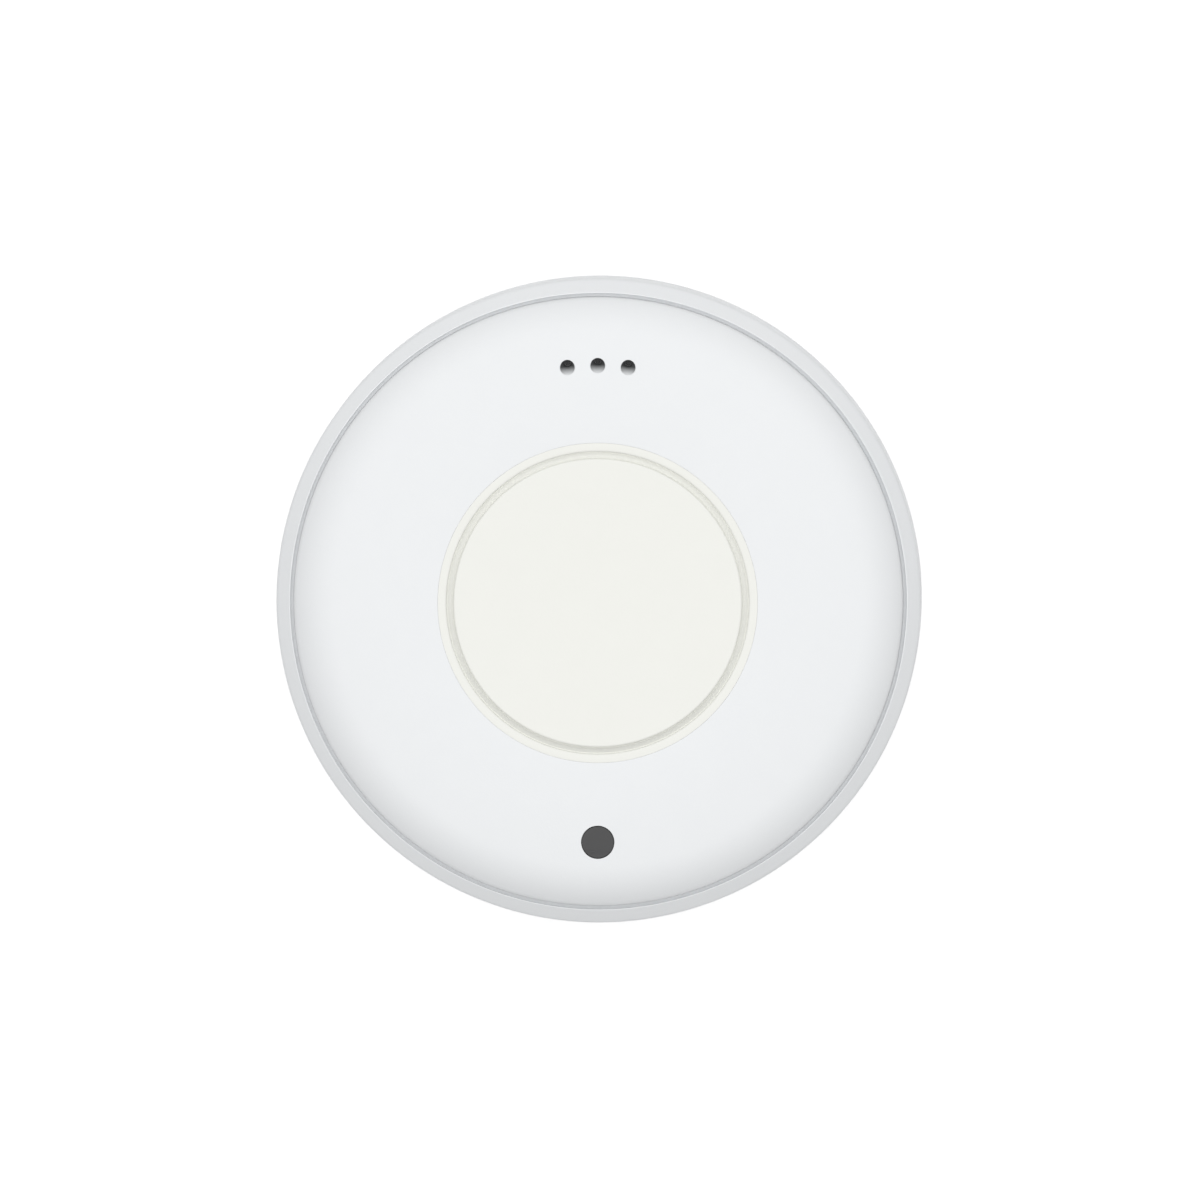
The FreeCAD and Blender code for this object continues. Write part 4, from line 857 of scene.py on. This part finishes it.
def make_hair_scratches():
    """Thin random scratches from wiping and handling."""
    group, start, end = new_group(
        "hair_scratches",
        [("Vector", "NodeSocketVector", None), ("Count", "NodeSocketFloat", SCRATCH_SCALE)],
        [("Scratch", "NodeSocketFloat")])
    masks = []
    for turn in SCRATCH_TURNS:
        lay = group.nodes.new("ShaderNodeMapping")
        lay.inputs["Rotation"].default_value = (0.0, 0.0, turn)
        lay.inputs["Scale"].default_value = SCRATCH_STRETCH
        group.links.new(start.outputs["Vector"], lay.inputs["Vector"])
        line = add_noise(group, lay.outputs["Vector"], start.outputs["Count"], *SCRATCH_SPOTS)
        masks.append(add_range(group, line, *SCRATCH_RANGE))
    both = add_math(group, "MAXIMUM", masks[0], masks[1])
    group.links.new(add_math(group, "MAXIMUM", both, masks[2], clamp=True), end.inputs["Scratch"])
    return group


def axis_distance(tree, vector):
    """Distance of a position from the middle axis, and the node that splits the position."""
    parts = tree.nodes.new("ShaderNodeSeparateXYZ")
    tree.links.new(vector, parts.inputs[0])
    square = add_math(tree, "MULTIPLY", parts.outputs["X"], parts.outputs["X"])
    other = add_math(tree, "MULTIPLY", parts.outputs["Y"], parts.outputs["Y"])
    return add_math(tree, "SQRT", add_math(tree, "ADD", square, other), 0.0), parts


def make_painted_ring_shade():
    """Painted shade in a groove: strongest on one circle, gone a set width away, above a height,
    and darker towards the window's side."""
    group, start, end = new_group(
        "painted_ring_shade",
        [("Vector", "NodeSocketVector", None), ("Ring Radius", "NodeSocketFloat", 0.01),
         ("Half Width", "NodeSocketFloat", 0.0003), ("Above", "NodeSocketFloat", 0.0),
         ("Drift", "NodeSocketFloat", 0.0)],
        [("Painted Shade", "NodeSocketFloat")])
    radius, parts = axis_distance(group, start.outputs["Vector"])
    offset = add_math(group, "SUBTRACT", radius, start.outputs["Ring Radius"])
    share = add_math(group, "DIVIDE", offset, start.outputs["Half Width"])
    square = add_math(group, "MULTIPLY", share, share)
    bump = add_math(group, "SUBTRACT", 1.0, add_math(group, "MULTIPLY", square, square),
                    clamp=True)
    high = add_math(group, "GREATER_THAN", parts.outputs["Z"], start.outputs["Above"])
    side = add_math(group, "DIVIDE", parts.outputs["Y"], start.outputs["Ring Radius"])
    drift = add_math(group, "SUBTRACT", 1.0,
                     add_math(group, "MULTIPLY", side, start.outputs["Drift"]))
    painted_shade = add_math(group, "MULTIPLY", add_math(group, "MULTIPLY", bump, high), drift)
    group.links.new(painted_shade, end.inputs["Painted Shade"])
    return group


def make_painted_hole_shade():
    """Painted shade inside the sound holes, darker below the dome's surface and more of it
    towards the edge of the cover.
    """
    group, start, end = new_group("painted_hole_shade", [("Vector", "NodeSocketVector", None)],
                                  [("Painted Shade", "NodeSocketFloat")])
    radius, parts = axis_distance(group, start.outputs["Vector"])
    share = add_range(group, radius, DOME_START, SHOULDER_START)
    fall = add_math(group, "MULTIPLY", add_math(group, "MULTIPLY", share, share), DOME_FALL)
    dome = add_math(group, "SUBTRACT", CROWN, fall)
    depth = add_math(group, "SUBTRACT", dome, parts.outputs["Z"])
    sunk = add_range(group, depth, PAINTED_HOLE_SHADE_START, PAINTED_HOLE_SHADE_FULL)
    outward = add_range(group, radius, PAINTED_HOLE_SHADE_FADED, PAINTED_HOLE_SHADE_STRONG, 0.0,
                        PAINTED_HOLE_SHADE_AMOUNT)
    behind = add_math(group, "GREATER_THAN", parts.outputs["Y"], SOUND_CIRCLE - 3 * SOUND_RADIUS)
    inside = add_math(group, "LESS_THAN", radius, SOUND_CIRCLE + 2 * SOUND_RADIUS)
    high = add_math(group, "GREATER_THAN", parts.outputs["Z"], CEILING + SMALL_EDGE / 2)
    near = add_math(group, "MULTIPLY", add_math(group, "MULTIPLY", behind, inside), high)
    painted_shade = add_math(group, "MULTIPLY", sunk, outward)
    group.links.new(add_math(group, "MULTIPLY", painted_shade, near), end.inputs["Painted Shade"])
    return group


def make_settled_dust():
    """Patchy dust specks."""
    group, start, end = new_group(
        "settled_dust",
        [("Vector", "NodeSocketVector", None), ("Amount", "NodeSocketFloat", 0.2)],
        [("Dust", "NodeSocketFloat")])
    specks = add_noise(group, start.outputs["Vector"], *DUST_SPOTS)
    specks = add_range(group, specks, *DUST_RANGE)
    group.links.new(add_math(group, "MULTIPLY", specks, start.outputs["Amount"], clamp=True),
                    end.inputs["Dust"])
    return group


MOULDED_GRAIN = make_moulded_grain()
DRAWN_STREAKS = make_drawn_streaks()
HAIR_SCRATCHES = make_hair_scratches()
# Painted shade in the grooves and in the sound holes
PAINTED_RING_SHADE = make_painted_ring_shade()
PAINTED_HOLE_SHADE = make_painted_hole_shade()
SETTLED_DUST = make_settled_dust()


# Finishes

# Two tones of each plastic seen in front, and of the inner cloth and board
SHELL_TONES = ((0.875, 0.890, 0.902), (0.865, 0.881, 0.894))
IVORY_TONES = ((0.892, 0.895, 0.850), (0.882, 0.885, 0.840))
LENS_TONES = ((0.032, 0.032, 0.033), (0.040, 0.040, 0.041))
CLOTH_TONES = ((0.035, 0.035, 0.036), (0.10, 0.10, 0.102))
BOARD_TONES = ((0.012, 0.12, 0.055), (0.006, 0.075, 0.032))

# How deep each relief is
MOULD_RELIEF = 0.004 * MM
LENS_RELIEF = 0.001 * MM
PORE_RELIEF = 0.03 * MM
WEAVE_RELIEF = 0.02 * MM
STREAK_RELIEF = 0.002 * MM
TRACK_RELIEF = 0.03 * MM
CHIP_RELIEF = 0.006 * MM

# Shine, and how the mottle, wipe marks and tarnish change it
PLASTIC_SHINE = 0.25
LENS_SHINE = 0.3
MOTTLE_RANGE = (0.3, 0.7)
ROUGHER = 0.06
SMOOTHER = 0.04
LENS_ROUGHNESS = (0.15, 0.32)
WORN_METAL = 1.5
METAL_WEAR = 0.22

# Near-black colour of the painted shade in the grooves and sound holes
PAINTED_SHADE_COLOUR = (0.03, 0.03, 0.032)
DUST_ON_RUBBER = (0.32, 0.31, 0.30)
DUST_ON_BOARD = (0.4, 0.4, 0.36)
DUST_ON_CHIPS = (0.42, 0.41, 0.38)
THREADS_SCALE = 2600.0
TRACKS_SCALE = 420.0
TRACKS_GAP = 0.09

# Circle, half width, amount and drift of the painted shade in a groove; the drift darkens it
# towards -Y
PARTING_PAINTED_SHADE = ((COVER_RADIUS + RIM_RADIUS) / 2, 0.17 * MM, 0.13, 0.0)
BUTTON_PAINTED_SHADE = ((BUTTON_RADIUS + LIP_RADIUS) / 2, 0.18 * MM, 0.20, 0.4)
NO_PAINTED_SHADE = (MM, MM, 0.0, 0.0)


class Finish:
    """One material with its main shader and the position that its patterns read."""

    def __init__(self, name, roughness, metallic=0.0, coat=0.0, coat_roughness=0.1):
        self.material = bpy.data.materials.new(name)
        self.material.use_nodes = True
        self.tree = self.material.node_tree
        self.shader = self.tree.nodes["Principled BSDF"]
        self.shader.inputs["Roughness"].default_value = roughness
        self.shader.inputs["Metallic"].default_value = metallic
        self.shader.inputs["Coat Weight"].default_value = coat
        self.shader.inputs["Coat Roughness"].default_value = coat_roughness
        place = self.tree.nodes.new("ShaderNodeTexCoord")
        self.place = place.outputs["Object"]

    def effect(self, group, **values):
        """Place a shared effect with its own values."""
        node = self.tree.nodes.new("ShaderNodeGroup")
        node.node_tree = group
        self.tree.links.new(self.place, node.inputs["Vector"])
        for label, value in values.items():
            node.inputs[label.replace("_", " ").title()].default_value = value
        return node.outputs

    def colour(self, factor, first, second):
        """Surface colour between two colours, by a factor socket."""
        result = add_mix(self.tree, factor, first, second)
        self.tree.links.new(result, self.shader.inputs["Base Color"])

    def roughness(self, value, low, high, rough_low, rough_high):
        """Roughness that follows a value from one range to another."""
        result = add_range(self.tree, value, low, high, rough_low, rough_high)
        self.tree.links.new(result, self.shader.inputs["Roughness"])

    def relief(self, height, depth, strength=1.0):
        """Bump from a height socket, depth in metres."""
        bump = self.tree.nodes.new("ShaderNodeBump")
        bump.inputs["Strength"].default_value = strength
        bump.inputs["Distance"].default_value = depth
        self.tree.links.new(height, bump.inputs["Height"])
        self.tree.links.new(bump.outputs["Normal"], self.shader.inputs["Normal"])


def moulded_finish(name, colour, shade, roughness, groove=NO_PAINTED_SHADE, grain=GRAIN_SCALE):
    """Injection-moulded plastic with a slow mottle, and painted shade in its groove and holes."""
    finish = Finish(name, roughness, coat_roughness=0.25)
    finish.shader.inputs["Specular IOR Level"].default_value = PLASTIC_SHINE
    outputs = finish.effect(MOULDED_GRAIN, grain_scale=grain, swell=0.05)
    base = add_mix(finish.tree, outputs["Mottle"], shade, colour)
    # Painted shade: the groove and the sound holes are darkened towards a near-black colour
    circle, half_width, amount, drift = groove
    ring = finish.effect(PAINTED_RING_SHADE, ring_radius=circle, half_width=half_width,
                         above=RIM_TOP / 2, drift=drift)
    groove_shade_share = add_math(finish.tree, "MULTIPLY", ring["Painted Shade"], amount)
    painted_shade = add_math(finish.tree, "MAXIMUM", groove_shade_share, finish.effect(PAINTED_HOLE_SHADE)["Painted Shade"])
    finish.colour(painted_shade, base, PAINTED_SHADE_COLOUR)
    finish.roughness(outputs["Mottle"], *MOTTLE_RANGE, roughness + ROUGHER, roughness - SMOOTHER)
    finish.relief(outputs["Height"], MOULD_RELIEF)
    return finish.material


def smoked_window_finish():
    """Polished dark plastic with a few wipe marks."""
    finish = Finish("smoked_window", 0.16, coat=0.1, coat_roughness=0.05)
    finish.shader.inputs["Specular IOR Level"].default_value = LENS_SHINE
    marks = finish.effect(HAIR_SCRATCHES, count=700.0)
    grain = finish.effect(MOULDED_GRAIN, grain_scale=2500.0, swell=0.6)
    finish.colour(grain["Mottle"], *LENS_TONES)
    finish.roughness(marks["Scratch"], 0.0, 1.0, *LENS_ROUGHNESS)
    finish.relief(grain["Height"], LENS_RELIEF)
    return finish.material


def rubber_finish(name, colour, pores):
    """Soft rubber or foam with pores and a little dust."""
    finish = Finish(name, 0.8)
    dust = finish.effect(SETTLED_DUST, amount=0.35)
    finish.colour(dust["Dust"], colour, DUST_ON_RUBBER)
    cells = finish.tree.nodes.new("ShaderNodeTexVoronoi")
    cells.inputs["Scale"].default_value = pores
    finish.tree.links.new(finish.place, cells.inputs["Vector"])
    finish.relief(cells.outputs["Distance"], PORE_RELIEF)
    return finish.material


def mesh_cloth_finish():
    """Fine woven acoustic mesh: crossed threads with open gaps."""
    finish = Finish("mesh_cloth", 0.65)
    threads = []
    for direction in ("X", "Y"):
        wave = finish.tree.nodes.new("ShaderNodeTexWave")
        wave.bands_direction = direction
        wave.inputs["Scale"].default_value = THREADS_SCALE
        wave.inputs["Distortion"].default_value = 0.4
        finish.tree.links.new(finish.place, wave.inputs["Vector"])
        threads.append(wave.outputs["Fac"])
    weave = add_math(finish.tree, "MAXIMUM", threads[0], threads[1])
    finish.colour(weave, *CLOTH_TONES)
    finish.relief(weave, WEAVE_RELIEF)
    return finish.material


def metal_finish(name, bright, dull, roughness, streaks=STREAK_SCALE):
    """Plated or bare metal with rolling streaks, tarnish and hair scratches."""
    finish = Finish(name, roughness, metallic=1.0)
    outputs = finish.effect(DRAWN_STREAKS, streak_scale=streaks)
    marks = finish.effect(HAIR_SCRATCHES, count=420.0)
    finish.colour(outputs["Tarnish"], bright, dull)
    mixed = add_math(finish.tree, "ADD", outputs["Tarnish"], marks["Scratch"])
    finish.roughness(mixed, 0.0, WORN_METAL, roughness, roughness + METAL_WEAR)
    finish.relief(outputs["Height"], STREAK_RELIEF)
    return finish.material


def board_finish():
    """Green solder mask over copper tracks, with a little dust."""
    finish = Finish("board_laminate", 0.32, coat=0.3, coat_roughness=0.2)
    tree = finish.tree
    tracks = tree.nodes.new("ShaderNodeTexBrick")
    tracks.inputs["Scale"].default_value = TRACKS_SCALE
    tracks.inputs["Mortar Size"].default_value = TRACKS_GAP
    tree.links.new(finish.place, tracks.inputs["Vector"])
    mask = add_mix(tree, tracks.outputs["Fac"], *BOARD_TONES)
    dust = finish.effect(SETTLED_DUST, amount=0.12)
    finish.colour(dust["Dust"], mask, DUST_ON_BOARD)
    finish.relief(tracks.outputs["Fac"], TRACK_RELIEF, strength=0.6)
    return finish.material


def chip_finish(name, colour, paler, roughness):
    """Moulded chip or ceramic body: fine grain in two close tones, with a little dust."""
    finish = Finish(name, roughness)
    grain = finish.effect(MOULDED_GRAIN, grain_scale=14000.0, swell=0.1)
    dust = finish.effect(SETTLED_DUST, amount=0.15)
    body = add_mix(finish.tree, grain["Mottle"], colour, paler)
    finish.colour(dust["Dust"], body, DUST_ON_CHIPS)
    finish.relief(grain["Height"], CHIP_RELIEF)
    return finish.material


SHELL_WHITE = moulded_finish("shell_plastic", *SHELL_TONES, 0.5, PARTING_PAINTED_SHADE)
IVORY = moulded_finish("ivory_plastic", *IVORY_TONES, 0.46, BUTTON_PAINTED_SHADE)
SMOKED = smoked_window_finish()
SCREW_STEEL = metal_finish("screw_steel", (0.62, 0.63, 0.64), (0.45, 0.45, 0.45), 0.28, 2200.0)

INNER_FINISHES = {
    "seal_rubber": rubber_finish("seal_rubber", (0.025, 0.025, 0.027), 3200.0),
    "mesh_cloth": mesh_cloth_finish(),
    "cell_steel": metal_finish("cell_steel", (0.66, 0.65, 0.62), (0.52, 0.50, 0.46), 0.3),
    "spring_metal": metal_finish("spring_metal", (0.72, 0.68, 0.60), (0.55, 0.51, 0.44), 0.34),
    "switch_plastic": moulded_finish("switch_plastic", (0.03, 0.03, 0.032),
                                     (0.022, 0.022, 0.024), 0.5, grain=12000.0),
    "board_laminate": board_finish(),
    "chip_mould": chip_finish("chip_mould", (0.022, 0.022, 0.024), (0.032, 0.032, 0.034), 0.6),
    "crystal_metal": metal_finish("crystal_metal", (0.78, 0.76, 0.70), (0.6, 0.57, 0.5), 0.25),
    "chip_ceramic": chip_finish("chip_ceramic", (0.62, 0.53, 0.41), (0.68, 0.60, 0.48), 0.45),
}


def dress_inner_parts():
    """Give every solid that stays visible its own finish."""
    for part in frame["record"]["subparts"]:
        finish = INNER_FINISHES.get(part["material_slot"])
        if finish is None:
            continue
        mesh = frame["nodes"][part["node"]].data
        mesh.materials.clear()
        mesh.materials.append(finish)


# Setting: the photograph's view, the light and the floor

VIEW_WIDTH = 82.0 * MM
CAMERA_DISTANCE = 2.4
SENSOR = 36.0
AIM_POINT = (0.03 * MM, -0.098 * MM, 4.9 * MM)
LEAN_BACK = math.radians(2.3)
LEAN_RIGHT = math.radians(1.0)
SKY_LIGHT = 0.30
LAMP_LIGHT = 0.69
LAMP_DISTANCE = 3.0
LAMP_SIZE = 5.5
LAMP_LEAN = math.radians(10)
FLOOR_SIZE = 6.0
FLOOR_COLOUR = (0.74, 0.74, 0.74)
FLOOR_LIFT = 0.5


def seen_directly(tree):
    """A mask of camera, glossy and transmission rays."""
    path = tree.nodes.new("ShaderNodeLightPath")
    mask = add_math(tree, "MAXIMUM", path.outputs["Is Camera Ray"], path.outputs["Is Glossy Ray"])
    return add_math(tree, "MAXIMUM", mask, path.outputs["Is Transmission Ray"])


def make_floor():
    """Pale paper under the tag, lifted to white where it is seen or reflected."""
    deselect()
    bpy.ops.mesh.primitive_plane_add(size=FLOOR_SIZE)
    floor = bpy.context.object
    floor.name = "white_floor"
    material = bpy.data.materials.new("white_floor")
    material.use_nodes = True
    tree = material.node_tree
    tree.nodes.remove(tree.nodes["Principled BSDF"])
    paper = tree.nodes.new("ShaderNodeBsdfDiffuse")
    paper.inputs["Color"].default_value = (*FLOOR_COLOUR, 1.0)
    lift = tree.nodes.new("ShaderNodeEmission")
    lift.inputs["Strength"].default_value = FLOOR_LIFT
    lifted = tree.nodes.new("ShaderNodeAddShader")
    tree.links.new(paper.outputs[0], lifted.inputs[0])
    tree.links.new(lift.outputs[0], lifted.inputs[1])
    choice = tree.nodes.new("ShaderNodeMixShader")
    tree.links.new(seen_directly(tree), choice.inputs["Fac"])
    tree.links.new(paper.outputs[0], choice.inputs[1])
    tree.links.new(lifted.outputs[0], choice.inputs[2])
    tree.links.new(choice.outputs[0], tree.nodes["Material Output"].inputs["Surface"])
    floor.data.materials.append(material)


def make_sky():
    """Plain soft light from all round, white where it is seen or reflected."""
    world = bpy.data.worlds.new("studio")
    bpy.context.scene.world = world
    world.use_nodes = True
    tree = world.node_tree
    background = tree.nodes["Background"]
    background.inputs["Color"].default_value = (1.0, 1.0, 1.0, 1.0)
    strength = add_range(tree, seen_directly(tree), 0.0, 1.0, SKY_LIGHT, 1.0)
    tree.links.new(strength, background.inputs["Strength"])


def aimed_matrix(distance, lean_back, lean_right, target):
    """A place leaning towards +Y and +X from straight above, turned to face the target."""
    direction = Vector((math.sin(lean_right), math.sin(lean_back),
                        math.sqrt(1 - math.sin(lean_right) ** 2 - math.sin(lean_back) ** 2)))
    right = Vector((0, 1, 0)).cross(direction).normalized()
    up = direction.cross(right)
    turn = Matrix((right, up, direction)).transposed().to_4x4()
    return Matrix.Translation(target + direction * distance) @ turn


def make_lamp():
    """Large square lamp that alone shows a level white surface at about LAMP_LIGHT."""
    lamp = bpy.data.lights.new("softbox", "AREA")
    lamp.shape = "SQUARE"
    lamp.size = LAMP_SIZE
    lamp.energy = LAMP_LIGHT * math.pi ** 2 * (LAMP_DISTANCE ** 2 + LAMP_SIZE ** 2 / math.pi)
    softbox = bpy.data.objects.new("softbox", lamp)
    bpy.context.collection.objects.link(softbox)
    softbox.matrix_world = aimed_matrix(LAMP_DISTANCE, LAMP_LEAN, 0.0, Vector((0, 0, 0)))


def make_camera():
    """Long lens from the photograph's side, aimed at the tag."""
    data = bpy.data.cameras.new("front_view")
    data.sensor_width = SENSOR
    data.lens = SENSOR * CAMERA_DISTANCE / VIEW_WIDTH
    camera = bpy.data.objects.new("front_view", data)
    bpy.context.collection.objects.link(camera)
    camera.matrix_world = aimed_matrix(CAMERA_DISTANCE, LEAN_BACK, LEAN_RIGHT,
                                       Vector(AIM_POINT))
    bpy.context.scene.camera = camera


make_front_cover(SHELL_WHITE)
make_rear_shell(SHELL_WHITE)
make_button_bezel(IVORY)
make_button_cap(IVORY)
make_sensor_window(SMOKED)
make_battery_door(SHELL_WHITE)
make_housing_screws(SCREW_STEEL)
dress_inner_parts()
make_floor()
make_sky()
make_lamp()
make_camera()
bpy.context.scene.view_settings.view_transform = "Standard"
